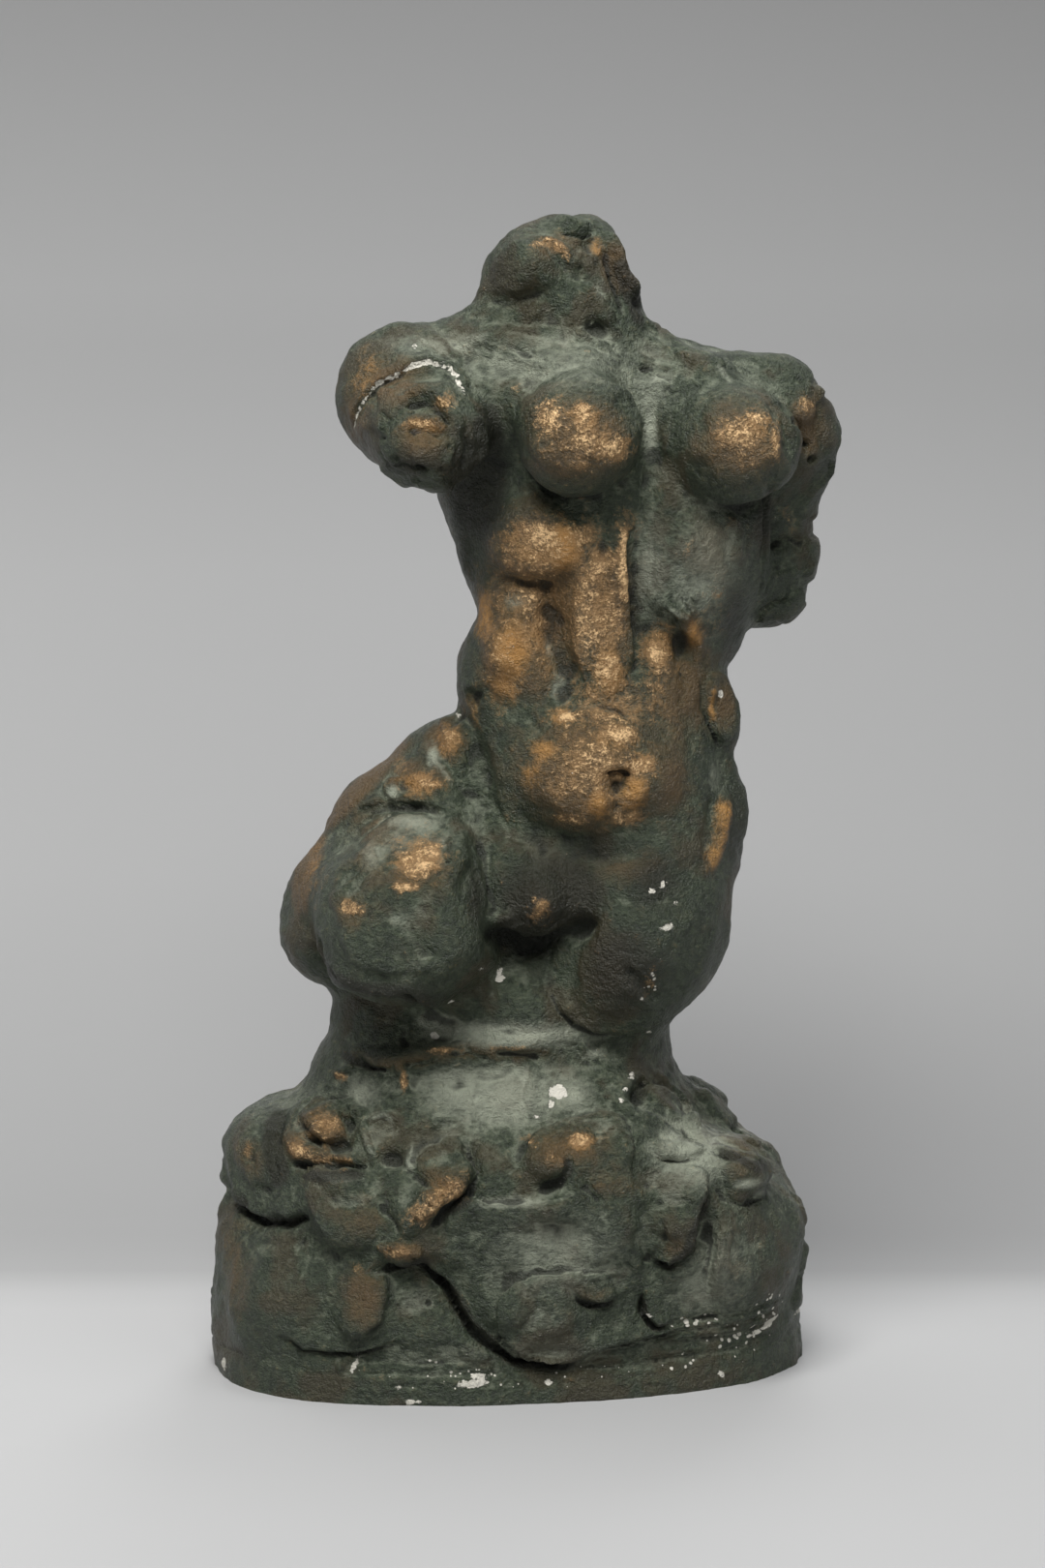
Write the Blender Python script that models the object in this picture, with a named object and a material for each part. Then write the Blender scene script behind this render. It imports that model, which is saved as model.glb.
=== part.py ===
"""A headless female torso seated on a rock, cast in plaster as one piece with its rock.

The form is built up as a modeller builds it: lumps of clay pressed together, smoothed over, then
pushed and pulled from the front, the sides and the back. X runs to the right of the front view, Y to
the back, Z up. The origin is the middle of the flat underside. Sizes below are in millimetres.
"""

import math

import bmesh
import bpy
import numpy as np
from mathutils import Euler, Matrix, Vector
from mathutils.bvhtree import BVHTree

MM = 0.001

# Driving dimensions, in millimetres.
BASE_HALF_WIDTH = 130
BASE_HALF_DEPTH = 82
BASE_HEIGHT = 56
BASE_TURN = 9
BASE_SQUARENESS = 2.4
BASE_SIDES = 72

CORE_VOXEL = 3.6
CORE_RUBS = 22
CORE_GAIN = 0.9
BODY_VOXEL = 3.0
BODY_RUBS = 4
BREAST_GAIN = 0.3
TRIANGLES = 9600
SHARP_ANGLE = 65

PAINT_COLOUR = (0.090, 0.084, 0.058)
PAINT_ROUGHNESS = 0.5
PAINT_METALLIC = 0.15


def clear_scene():
    for thing in list(bpy.data.objects):
        bpy.data.objects.remove(thing)


# ---- Putting clay on -------------------------------------------------------------------------


def lump(clay, at, size, turn=(0, 0, 0)):
    """An egg-shaped lump: its centre, its three half-sizes and its turn in degrees."""
    angles = Euler([math.radians(a) for a in turn])
    place = (
        Matrix.Translation(Vector(at) * MM)
        @ angles.to_matrix().to_4x4()
        @ Matrix.Diagonal((*(s * MM for s in size), 1))
    )
    bmesh.ops.create_icosphere(clay, subdivisions=4, radius=1, matrix=place)


def limb(clay, start, end, start_radius, end_radius):
    """A round tapering limb from one point to another, with ball ends."""
    a, b = Vector(start) * MM, Vector(end) * MM
    along = (b - a).to_track_quat("Z", "Y").to_matrix().to_4x4()
    place = Matrix.Translation((a + b) / 2) @ along
    bmesh.ops.create_cone(
        clay,
        cap_ends=True,
        segments=32,
        radius1=start_radius * MM,
        radius2=end_radius * MM,
        depth=(b - a).length,
        matrix=place,
    )
    lump(clay, start, (start_radius,) * 3)
    lump(clay, end, (end_radius,) * 3)


def slab(clay, half_width, half_depth, bottom, top, taper):
    """An upright block on an oval plan, fuller than an ellipse, a little narrower at its top."""
    rim = bmesh.ops.create_circle(clay, cap_ends=True, segments=BASE_SIDES, radius=1)["verts"]
    for v in rim:
        angle = math.atan2(v.co.y, v.co.x)
        fullness = 2 / BASE_SQUARENESS
        v.co.x = half_width * MM * math.copysign(abs(math.cos(angle)) ** fullness, math.cos(angle))
        v.co.y = half_depth * MM * math.copysign(abs(math.sin(angle)) ** fullness, math.sin(angle))
        v.co.z = bottom * MM
    bmesh.ops.rotate(clay, verts=rim, matrix=Matrix.Rotation(math.radians(BASE_TURN), 3, "Z"))
    floor = rim[0].link_faces[0]
    floor.normal_update()
    if floor.normal.z > 0:
        floor.normal_flip()
    raised = bmesh.ops.extrude_face_region(clay, geom=[floor], use_keep_orig=True)["geom"]
    upper = [v for v in raised if isinstance(v, bmesh.types.BMVert)]
    bmesh.ops.translate(clay, verts=upper, vec=(0, 0, (top - bottom) * MM))
    bmesh.ops.scale(clay, verts=upper, vec=(taper, taper, 1))
    bmesh.ops.recalc_face_normals(clay, faces=clay.faces)


def knead(name, clay, voxel, rubs, gain):
    """Welds the lumps of a bmesh into one skin, rubs it smooth and gives back what that took off."""
    loose = bpy.data.meshes.new(name)
    clay.to_mesh(loose)
    clay.free()
    holder = bpy.data.objects.new(name, loose)
    bpy.context.scene.collection.objects.link(holder)
    weld = holder.modifiers.new("weld", "REMESH")
    weld.mode = "VOXEL"
    weld.voxel_size = voxel * MM
    rub = holder.modifiers.new("rub", "SMOOTH")
    rub.factor = 0.5
    rub.iterations = rubs
    fill = holder.modifiers.new("fill", "DISPLACE")
    fill.strength = gain * MM
    fill.mid_level = 0
    bpy.context.view_layer.update()
    seen = holder.evaluated_get(bpy.context.evaluated_depsgraph_get())
    skin = bpy.data.meshes.new_from_object(seen)
    bpy.data.objects.remove(holder)
    return skin


# ---- The masses, from the ground up ----------------------------------------------------------


def rock(clay):
    slab(clay, BASE_HALF_WIDTH, BASE_HALF_DEPTH, -12, BASE_HEIGHT, 0.96)
    lump(clay, (-80, -20, 34), (46, 58, 42))
    limb(clay, (-94, -10, 16), (-93, -8, 50), 37, 36)
    lump(clay, (-83, 0, 91), (44, 50, 26), (0, 3, 0))
    lump(clay, (-28, -14, 74), (82, 72, 48))
    lump(clay, (32, -8, 74), (78, 68, 46))
    lump(clay, (84, -8, 54), (45, 56, 42))
    limb(clay, (54, 6, 83), (91, 4, 60), 30, 37)
    # The front rim of the mound, and the slope of clay between it and the seat.
    limb(clay, (-42, -36, 108), (38, -32, 107), 28, 27)
    limb(clay, (-42, -26, 120), (34, -22, 119), 28, 27)
    limb(clay, (-50, -50, 86), (-10, -58, 88), 23, 24)
    limb(clay, (-10, -58, 88), (44, -54, 90), 24, 23)
    limb(clay, (46, -40, 106), (84, -36, 82), 20, 24)
    # Behind, the mound falls from the seat to the edge of the base.
    lump(clay, (-4, 26, 58), (112, 50, 48))
    lump(clay, (-66, 22, 74), (46, 44, 38))
    lump(clay, (56, 26, 78), (48, 42, 40))
    limb(clay, (-44, 2, 110), (33, 6, 109), 47, 44)
    limb(clay, (-40, 2, 144), (32, 6, 142), 39, 38)
    # The seat slopes down to the front between the thighs.
    lump(clay, (2, -6, 160), (48, 38, 26))
    limb(clay, (10, -4, 172), (14, -20, 154), 27, 24)


def pelvis_and_thighs(clay):
    lump(clay, (34, 4, 236), (60, 44, 48))
    # The left thigh of the view comes forwards and is cut short above the knee.
    limb(clay, (-6, 4, 234), (-46, -40, 208), 38, 30)
    lump(clay, (-46, -47, 194), (36, 33, 28))
    limb(clay, (-54, -38, 208), (-30, -40, 214), 27, 27)
    lump(clay, (-34, -44, 200), (32, 32, 30))
    # Its outer side and buttock lie lower and further back.
    limb(clay, (-15, 16, 243), (-64, 6, 198), 42, 35)
    lump(clay, (-46, 10, 230), (33, 32, 33))
    lump(clay, (-73, 2, 188), (28, 26, 23))
    limb(clay, (-63, -4, 206), (-58, -34, 204), 28, 25)
    # The other thigh goes straight down to its stump on the rock.
    limb(clay, (56, 4, 238), (53, -10, 196), 46, 43)
    lump(clay, (45, -12, 179), (38, 40, 35))
    for side in (-16, 58):
        lump(clay, (side, 36, 214), (39, 34, 40))
    lump(clay, (20, 22, 208), (26, 32, 42))
    lump(clay, (12, -24, 214), (28, 24, 27))
    # A pad of clay left on the hip.
    lump(clay, (91, -2, 282), (9, 15, 17), (0, 10, 0))


def trunk(clay):
    lump(clay, (37, -9, 264), (54, 40, 44))
    lump(clay, (36, -5, 300), (57, 33, 52))
    lump(clay, (-1, -1, 302), (22, 27, 27))
    lump(clay, (50, 3, 362), (65, 43, 60), (0, 4, 0))
    lump(clay, (45, 12, 417), (74, 37, 34), (0, 4, 0))
    # The broad back muscles run from under the arms to the waist.
    limb(clay, (-12, 16, 398), (2, 10, 346), 23, 21)
    limb(clay, (100, 20, 392), (86, 10, 320), 20, 17)
    # The chest slopes out from the collar bones to each breast.
    limb(clay, (26, -10, 432), (29, -30, 418), 17, 20)
    limb(clay, (78, -6, 428), (90, -22, 413), 17, 20)


def neck_and_arms(clay):
    limb(clay, (28, 10, 438), (20, 13, 468), 35, 31)
    lump(clay, (13, 9, 478), (25, 28, 18), (10, -12, 0))
    lump(clay, (33, 14, 484), (15, 24, 17), (10, 16, 0))
    limb(clay, (34, 8, 453), (55, 10, 429), 21, 19)
    limb(clay, (10, 6, 448), (-28, 4, 434), 22, 20)
    # The shoulder of the view's left, and its stump that points forwards.
    limb(clay, (-45, 2, 425), (-33, -40, 409), 30, 24)
    limb(clay, (-22, -4, 422), (22, -16, 422), 22, 24)
    # The shoulder of the view's right, and the arm that hangs behind the back.
    limb(clay, (109, 10, 415), (117, 14, 404), 27, 25)
    limb(clay, (112, 20, 404), (112, 30, 346), 22, 19)
    lump(clay, (112, 31, 338), (19, 18, 18))


def breasts(clay):
    lump(clay, (30, -42, 410), (27, 26, 26))
    lump(clay, (97, -34, 405), (27, 26, 25), (0, 0, 10))


# ---- Pushing and pulling the skin ------------------------------------------------------------

# Each view by its azimuth in degrees: 0 looks at the front, 90 at the right side, 180 at the back.
VIEWS = {"front": 0, "right": 90, "back": 180, "left": 270}
STEP = 4


def aim(view):
    """The direction towards the viewer, and the one across: x or y, whichever grows with the view."""
    azimuth = math.radians(VIEWS.get(view, view))
    towards = np.array((math.sin(azimuth), -math.cos(azimuth), 0))
    across = np.array((math.cos(azimuth), math.sin(azimuth), 0))
    return towards, across if across.sum() > 0 else -across


class Skin:
    """The statue's skin as arrays of points and normals, for strokes that move many points at once.

    A place on it is given in a view by two millimetre coordinates: x and z from the front or the
    back, y and z from the left or the right.
    """

    def __init__(self, mesh):
        self.mesh = mesh
        self.points = np.empty((len(mesh.vertices), 3), np.float32)
        self.normals = np.empty_like(self.points)
        self.faces = [tuple(face.vertices) for face in mesh.polygons]
        mesh.vertices.foreach_get("co", self.points.ravel())
        self.settle()

    def settle(self):
        """Puts the moved points back into the mesh and works out its normals again."""
        self.mesh.vertices.foreach_set("co", self.points.ravel())
        self.mesh.update()
        self.mesh.vertex_normals.foreach_get("vector", self.normals.ravel())
        self.tree = BVHTree.FromPolygons(self.points.tolist(), self.faces)

    def touch(self, view, place):
        """The point of the skin that a view shows at a place."""
        towards, across = aim(view)
        flat = (across * place[0] + np.array((0, 0, place[1]))) * MM
        hit = self.tree.ray_cast(Vector(flat + towards), Vector(-towards))[0]
        return None if hit is None else np.array(hit)


def patch(skin, view, place, size, turn, fullness):
    """How strongly an oval stroke takes hold of each point of the skin, from 0 to 1."""
    towards, across = aim(view)
    offset = (skin.points - skin.touch(view, place)) / MM
    angle = math.radians(turn)
    a, b = offset @ across, offset[:, 2]
    u = (a * math.cos(angle) + b * math.sin(angle)) / size[0]
    v = (b * math.cos(angle) - a * math.sin(angle)) / size[1]
    spread = np.minimum(u * u + v * v, 1)
    near = np.abs(offset @ towards) < 0.9 * max(size)
    facing = np.clip(2 * skin.normals @ towards + 0.2, 0, 1)
    return (1 - spread ** (fullness / 2)) ** 2 * near * facing


def swell(skin, view, place, size, lift, turn=0, fullness=2):
    """Raises an oval of the skin, or sinks it where lift is negative; more fullness, flatter top."""
    hold = patch(skin, view, place, size, turn, fullness)
    skin.points += skin.normals * (hold * lift * MM)[:, None]


def scrape(skin, view, place, size, turn=0, strength=0.8):
    """Flattens an oval of the skin, as a wooden paddle does."""
    hold = patch(skin, view, place, size, turn, 4)
    centre = hold @ skin.points / hold.sum()
    plane = hold @ skin.normals / np.linalg.norm(hold @ skin.normals)
    height = (skin.points - centre) @ plane
    skin.points -= plane * (hold * strength * height)[:, None]


def crease(skin, view, path, width, depth):
    """Presses a groove along a path, or raises a ridge where depth is negative; its ends fade."""
    line = []
    for start, end in zip(path, path[1:]):
        steps = max(1, round(math.dist(start, end) / STEP))
        for k in range(steps):
            place = [s + (e - s) * k / steps for s, e in zip(start, end)]
            line.append(skin.touch(view, place))
    line = np.array([point for point in line if point is not None])
    along = np.linspace(0, 1, len(line))
    strength = np.minimum(1, 0.3 + 3 * np.minimum(along, 1 - along))
    margin = width * MM
    inside = (skin.points > line.min(0) - margin) & (skin.points < line.max(0) + margin)
    places = np.flatnonzero(inside.all(1))
    gaps = np.linalg.norm(skin.points[places, None] - line[None], axis=2) / margin
    nearest = gaps.argmin(1)
    away = np.minimum(gaps.min(1), 1)
    push = (1 - away * away) ** 2 * strength[nearest] * depth * MM
    skin.points[places] -= skin.normals[places] * push[:, None]


# ---- The larger carving ----------------------------------------------------------------------


def ribs_and_belly(skin):
    swell(skin, "front", (14, 365), (28, 20), 6, fullness=3)
    crease(skin, "front", [(-10, 349), (2, 344), (16, 344), (28, 348)], 9, 3)
    swell(skin, "front", (-2, 330), (20, 26), 5)
    swell(skin, "front", (-4, 308), (15, 18), 3)
    crease(skin, "front", [(17, 343), (18, 328), (24, 308), (22, 292)], 13, 6)
    swell(skin, "front", (39, 322), (15, 42), 4, fullness=3)
    crease(skin, "front", [(60, 415), (62, 396), (58, 376), (54, 350), (55, 322), (50, 300)], 9, 4)
    swell(skin, "front", (84, 366), (22, 24), 4)
    crease(skin, "front", [(64, 340), (74, 332), (82, 318)], 9, -4)
    crease(skin, "front", [(58, 330), (70, 322), (78, 308)], 9, 4)
    swell(skin, "front", (38, 264), (38, 30), 4, fullness=3)
    swell(skin, "front", (46, 263), (9, 8), -5)
    crease(skin, "front", [(0, 242), (12, 235), (26, 231), (46, 234), (64, 242)], 12, 2)


def hips_and_thighs(skin):
    crease(skin, "front", [(-20, 286), (-14, 262), (-13, 242), (-8, 222), (-7, 200), (-4, 186)], 12, 7)
    swell(skin, "front", (-25, 268), (13, 14), 4)
    crease(skin, "front", [(-52, 249), (-38, 251), (-20, 250)], 9, 5)
    scrape(skin, "front", (-40, 206), (30, 30), turn=-12)
    scrape(skin, "front", (-38, 236), (30, 14), turn=-6)
    crease(skin, "front", [(-79, 180), (-81, 190), (-81, 198)], 8, 5)
    scrape(skin, "front", (-42, 200), (28, 15))
    swell(skin, "front", (13, 210), (20, 16), 3, fullness=3)
    crease(skin, "front", [(-2, 192), (10, 190), (24, 190)], 9, 4)
    swell(skin, "front", (54, 200), (28, 40), 3)
    crease(skin, "front", [(34, 208), (26, 190), (22, 172), (28, 152)], 12, 5)
    crease(skin, "right", [(-10, 272), (-6, 250), (-8, 228)], 10, -4)
    crease(skin, "right", [(-30, 222), (-10, 214), (16, 206)], 12, 2)


def shoulders_and_neck(skin):
    crease(skin, "front", [(-68, 412), (-63, 424), (-57, 432), (-44, 437), (-30, 436), (-21, 430)], 8, 4)
    swell(skin, "front", (-36, 407), (20, 18), 3)
    swell(skin, "front", (-36, 420), (12, 7), -3)
    crease(skin, "front", [(-22, 449), (-4, 448), (14, 444)], 9, -3)
    crease(skin, "front", [(-12, 438), (6, 434), (26, 436)], 10, 3)
    swell(skin, "front", (38, 450), (13, 9), -5, turn=-40)
    crease(skin, "front", [(60, 450), (78, 441), (92, 435)], 9, -2)
    crease(skin, "front", [(44, 488), (49, 474), (54, 460)], 8, -4)
    crease(skin, "front", [(14, 458), (24, 452), (34, 452)], 9, 3)
    swell(skin, "front", (33, 490), (8, 5), -4)
    swell(skin, "front", (7, 478), (16, 14), 4)
    crease(skin, "front", [(112, 426), (118, 412), (124, 396)], 8, 6)
    crease(skin, "front", [(114, 376), (116, 362), (112, 350)], 8, 5)
    swell(skin, "right", (24, 352), (16, 16), 3)
    swell(skin, "right", (22, 392), (18, 30), 2)


def back_of_the_figure(skin):
    crease(skin, "back", [(30, 446), (40, 416), (46, 380), (40, 340), (35, 300), (32, 262)], 17, 8)
    for column in (18, 58):
        swell(skin, "back", (column, 312), (15, 52), 3)
    swell(skin, "back", (4, 396), (27, 32), 6, turn=14, fullness=3)
    swell(skin, "back", (86, 390), (25, 32), 6, turn=-14, fullness=3)
    crease(skin, "back", [(-16, 368), (6, 362), (28, 372)], 14, 3)
    crease(skin, "back", [(68, 366), (84, 356), (100, 362)], 14, 3)
    crease(skin, "back", [(20, 244), (20, 220), (18, 190), (18, 170)], 15, 12)
    for dimple in (14, 50):
        swell(skin, "back", (dimple, 258), (11, 10), -3)
    crease(skin, "back", [(-60, 186), (-30, 176), (10, 176), (50, 174), (86, 182)], 13, 6)
    crease(skin, "left", [(10, 322), (24, 318), (36, 316)], 10, 3)


def face_of_the_rock(skin):
    # The ledge under the seat, then the pats and wads of clay from the top of the rock down.
    crease(skin, "front", [(-74, 141), (-48, 142), (-16, 143), (16, 144)], 8, -3)
    crease(skin, "front", [(-66, 132), (-46, 134), (-16, 135), (12, 137)], 9, 3)
    swell(skin, "front", (-84, 110), (19, 13), 5, turn=-20, fullness=4)
    swell(skin, "front", (-62, 106), (13, 11), 3)
    swell(skin, "front", (31, 106), (28, 12), 5, turn=6, fullness=4)
    crease(skin, "front", [(-118, 74), (-108, 72), (-96, 72), (-88, 76)], 9, 3)
    swell(skin, "front", (-72, 82), (22, 20), 4, turn=-25, fullness=4)
    crease(skin, "front", [(-18, 99), (-31, 92), (-42, 82), (-44, 66)], 11, -5)
    swell(skin, "front", (-64, 46), (14, 18), 5, fullness=4)
    swell(skin, "front", (30, 72), (48, 28), 5, turn=8, fullness=4)
    crease(skin, "front", [(-57, 58), (-36, 60), (-24, 54), (-18, 42), (-8, 31), (6, 20), (26, 20)], 11, 7)
    swell(skin, "front", (14, 38), (27, 16), 6, turn=-10, fullness=4)
    swell(skin, "front", (42, 44), (12, 8), 3)
    crease(skin, "front", [(54, 104), (58, 88), (56, 72), (64, 60), (62, 44)], 10, 5)
    swell(skin, "front", (76, 84), (15, 20), 5, turn=-20, fullness=4)
    swell(skin, "front", (64, 52), (12, 16), 3)
    crease(skin, "front", [(91, 82), (92, 60), (93, 40)], 8, -4)
    crease(skin, "front", [(90, 100), (104, 96), (114, 90)], 8, -4)
    swell(skin, "front", (78, 112), (18, 14), -3, turn=-30)
    crease(skin, "front", [(-112, 27), (-88, 23), (-50, 20), (0, 14), (40, 14), (80, 18), (112, 22)], 9, 3)


# Around the sides and the back the same clay goes on by feel: first wads, then the paddle.
WADS = 26
WAD_SEED = 11
BARE_ANGLES = (105, 255)
WAD_HEIGHTS = (22, 112)


def rest_of_the_rock(skin):
    feel = np.random.default_rng(WAD_SEED)
    for number in range(WADS):
        azimuth = feel.uniform(*BARE_ANGLES)
        place = (feel.uniform(-25, 25), feel.uniform(*WAD_HEIGHTS))
        size = feel.uniform(15, 28), feel.uniform(10, 17)
        turn = feel.uniform(-50, 50)
        if number % 3:
            swell(skin, azimuth, place, size, feel.uniform(3, 6), turn, fullness=5)
        else:
            scrape(skin, azimuth, place, size, turn)
        skin.settle()


# ---- Building the statue ---------------------------------------------------------------------


def statue():
    clay = bmesh.new()
    rock(clay)
    pelvis_and_thighs(clay)
    trunk(clay)
    neck_and_arms(clay)
    core = knead("core", clay, CORE_VOXEL, CORE_RUBS, CORE_GAIN)
    clay = bmesh.new()
    clay.from_mesh(core)
    breasts(clay)
    mesh = knead("torso_on_rock", clay, BODY_VOXEL, BODY_RUBS, BREAST_GAIN)
    skin = Skin(mesh)
    for carve in (
        ribs_and_belly,
        hips_and_thighs,
        shoulders_and_neck,
        back_of_the_figure,
        face_of_the_rock,
        rest_of_the_rock,
    ):
        carve(skin)
        skin.settle()
    return mesh


def cut_flat(mesh):
    """Trims the underside to the ground plane and closes it with one flat face."""
    body = bmesh.new()
    body.from_mesh(mesh)
    everything = body.verts[:] + body.edges[:] + body.faces[:]
    bmesh.ops.bisect_plane(
        body, geom=everything, dist=1e-6, plane_co=(0, 0, 0), plane_no=(0, 0, 1), clear_inner=True
    )
    rim = [e for e in body.edges if e.is_boundary]
    bmesh.ops.holes_fill(body, edges=rim, sides=0)
    bmesh.ops.triangulate(body, faces=body.faces)
    bmesh.ops.recalc_face_normals(body, faces=body.faces)
    body.to_mesh(mesh)
    body.free()


def thinned(mesh, triangles):
    """The same skin with about this many triangles."""
    holder = bpy.data.objects.new("thinned", mesh)
    bpy.context.scene.collection.objects.link(holder)
    fewer = holder.modifiers.new("fewer", "DECIMATE")
    fewer.ratio = triangles / (2 * len(mesh.polygons))
    bpy.context.view_layer.update()
    seen = holder.evaluated_get(bpy.context.evaluated_depsgraph_get())
    skin = bpy.data.meshes.new_from_object(seen)
    bpy.data.objects.remove(holder)
    return skin


def bronzed_plaster():
    """Plaster under dark green-brown bronze paint, satin, with a little metal in it."""
    finish = bpy.data.materials.new("bronzed_plaster")
    finish.use_nodes = True
    shader = finish.node_tree.nodes["Principled BSDF"]
    shader.inputs["Base Color"].default_value = (*PAINT_COLOUR, 1)
    shader.inputs["Roughness"].default_value = PAINT_ROUGHNESS
    shader.inputs["Metallic"].default_value = PAINT_METALLIC
    return finish


def main():
    clear_scene()
    mesh = thinned(statue(), TRIANGLES)
    cut_flat(mesh)
    mesh.shade_smooth()
    mesh.set_sharp_from_angle(angle=math.radians(SHARP_ANGLE))
    mesh.name = "torso_on_rock"
    mesh.materials.append(bronzed_plaster())
    thing = bpy.data.objects.new("torso_on_rock", mesh)
    bpy.context.scene.collection.objects.link(thing)


main()
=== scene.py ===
# %% [markdown]
# # A plaster torso on its rock
#
# The real object is a studio cast: a headless woman's torso seated on a rock, modelled in clay by
# hand, cast in plaster in one piece, then painted to look like old bronze. Dark green paint lies in
# the hollows, copper and gold are rubbed on what stands proud, dust has settled on what faces up, and
# white plaster shows where the paint has chipped.
#
# The frame already holds the figure's true size, pose and larger forms. This script adds what a hand
# adds last: pats and pellets of clay, tool marks, edges, the broken stumps, and the paint.
#
# Axes are in metres: X to the right of the front view, Y to the back, Z up. Places on the figure are
# written in millimetres, because that is how a modeller would measure them.

# %% Load the frame
import math

import bmesh
import bpy
import numpy as np
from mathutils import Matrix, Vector, noise
from mathutils.bvhtree import BVHTree


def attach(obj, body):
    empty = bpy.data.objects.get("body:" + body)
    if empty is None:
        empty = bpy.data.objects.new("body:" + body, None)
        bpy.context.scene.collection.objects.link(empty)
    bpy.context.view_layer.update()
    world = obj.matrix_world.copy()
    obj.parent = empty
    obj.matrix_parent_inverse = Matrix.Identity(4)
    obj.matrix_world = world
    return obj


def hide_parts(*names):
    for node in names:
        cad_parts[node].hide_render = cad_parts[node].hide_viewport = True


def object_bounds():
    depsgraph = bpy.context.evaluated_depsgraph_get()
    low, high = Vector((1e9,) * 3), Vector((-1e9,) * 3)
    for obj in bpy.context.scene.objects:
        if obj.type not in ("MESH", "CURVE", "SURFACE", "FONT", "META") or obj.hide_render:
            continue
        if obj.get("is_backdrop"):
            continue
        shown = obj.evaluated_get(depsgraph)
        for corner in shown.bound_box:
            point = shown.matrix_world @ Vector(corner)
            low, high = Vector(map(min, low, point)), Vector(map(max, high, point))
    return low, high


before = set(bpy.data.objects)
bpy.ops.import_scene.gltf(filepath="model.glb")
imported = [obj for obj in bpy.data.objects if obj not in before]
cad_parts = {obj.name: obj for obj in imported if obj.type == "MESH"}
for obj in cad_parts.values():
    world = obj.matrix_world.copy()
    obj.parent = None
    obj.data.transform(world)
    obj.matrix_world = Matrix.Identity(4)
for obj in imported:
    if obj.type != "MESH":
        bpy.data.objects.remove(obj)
cad_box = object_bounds()
MM = 0.001
NODE = "torso_on_rock"
height = cad_box[1].z
print("height in mm:", round(height / MM))

# %% [markdown]
# ## The stage
#
# A small sculpture is often shown on seamless paper that runs from the table up the wall in one
# curve, so that no line crosses behind it. Here the paper is one edge, extruded along the floor, round
# the bend and up the wall. A plain floor goes on behind it.

# %% Hang the seamless paper
FLOOR_BACK = 3.0
PAPER_WIDTH = 4.0
PAPER_FRONT = -1.8
BEND_START = 0.08
BEND_RADIUS = 0.42
WALL_TOP = 2.2
BEND_STEPS = 24


def shown(name, data):
    """A new object of the scene that holds a mesh, a camera or a lamp."""
    holder = bpy.data.objects.new(name, data)
    bpy.context.scene.collection.objects.link(holder)
    return holder


def mesh_from(body, name):
    """A new mesh from a bmesh, which is then let go."""
    mesh = bpy.data.meshes.new(name)
    body.to_mesh(mesh)
    body.free()
    return mesh


def paper_profile():
    """Points (y, z) from the front of the floor to the top of the wall."""
    points = [(PAPER_FRONT, 0.0), (BEND_START, 0.0)]
    for k in range(1, BEND_STEPS + 1):
        angle = math.pi / 2 * k / BEND_STEPS
        along, up = math.sin(angle), 1 - math.cos(angle)
        points.append((BEND_START + BEND_RADIUS * along, BEND_RADIUS * up))
    return points + [(BEND_START + BEND_RADIUS, WALL_TOP)]


def hang_paper():
    sheet = bmesh.new()
    profile = paper_profile()
    ends = [sheet.verts.new((side * PAPER_WIDTH / 2, *profile[0])) for side in (-1, 1)]
    edge = sheet.edges.new(ends)
    for here, there in zip(profile, profile[1:]):
        grown = bmesh.ops.extrude_edge_only(sheet, edges=[edge])["geom"]
        edge = next(g for g in grown if isinstance(g, bmesh.types.BMEdge))
        step = (0, there[0] - here[0], there[1] - here[1])
        bmesh.ops.translate(sheet, verts=edge.verts[:], vec=step)
    bmesh.ops.recalc_face_normals(sheet, faces=sheet.faces[:])
    mesh = mesh_from(sheet, "paper")
    if mesh.polygons[0].normal.z < 0:
        mesh.flip_normals()
    mesh.shade_smooth()
    paper = shown("paper", mesh)
    paper.visible_shadow = False
    paper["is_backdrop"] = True
    return paper


def lay_floor():
    """The floor goes on behind the paper, where it shows only from the back and the sides."""
    sheet = bmesh.new()
    bmesh.ops.create_grid(sheet, x_segments=1, y_segments=1, size=1)
    half = (PAPER_WIDTH / 2, (FLOOR_BACK - BEND_START) / 2)
    bmesh.ops.scale(sheet, verts=sheet.verts[:], vec=(*half, 1))
    bmesh.ops.translate(sheet, verts=sheet.verts[:], vec=(0, BEND_START + half[1], -MM))
    floor = shown("floor", mesh_from(sheet, "floor"))
    floor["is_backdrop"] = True
    return floor


paper = hang_paper()
floor = lay_floor()
print("paper: strips", len(paper.data.polygons))

# %% [markdown]
# The paper is matt and neutral. Its tone changes with height, as on graduated background paper, and this
# paints the studio's shade into it: a dark band where the floor turns up into the bend, lighter above, and
# darker again towards the top. It also darkens a little to the right, as painted falloff of the light
# from the left. Both are read from its own place, so they stay put. From behind, the paper is clear, so
# that the figure's back can be looked at too.

# %% Tone the paper, with painted shade
# The paper's grey by height, with painted shade in it: darkest at the foot of the bend and towards the top.
PAPER_TONE_AND_SHADE = [
    (0.0, 0.48), (0.003, 0.37), (0.010, 0.335), (0.02, 0.34), (0.06, 0.36), (0.15, 0.40),
    (0.30, 0.425), (0.45, 0.40), (0.60, 0.285),
]  # fmt: skip
PAPER_TINT = (0.985, 0.99, 1.0)
# Painted falloff of the light from the left: the paper darkens towards the right.
PAPER_SHADE_ACROSS = {"From Min": -0.3, "From Max": 0.3, "To Min": 1.0, "To Max": 0.88}


def material(name):
    made = bpy.data.materials.new(name)
    made.use_nodes = True
    return made, made.node_tree.nodes, made.node_tree.links


def set_inputs(node, numbers):
    for name, number in numbers.items():
        node.inputs[name].default_value = number


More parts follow.
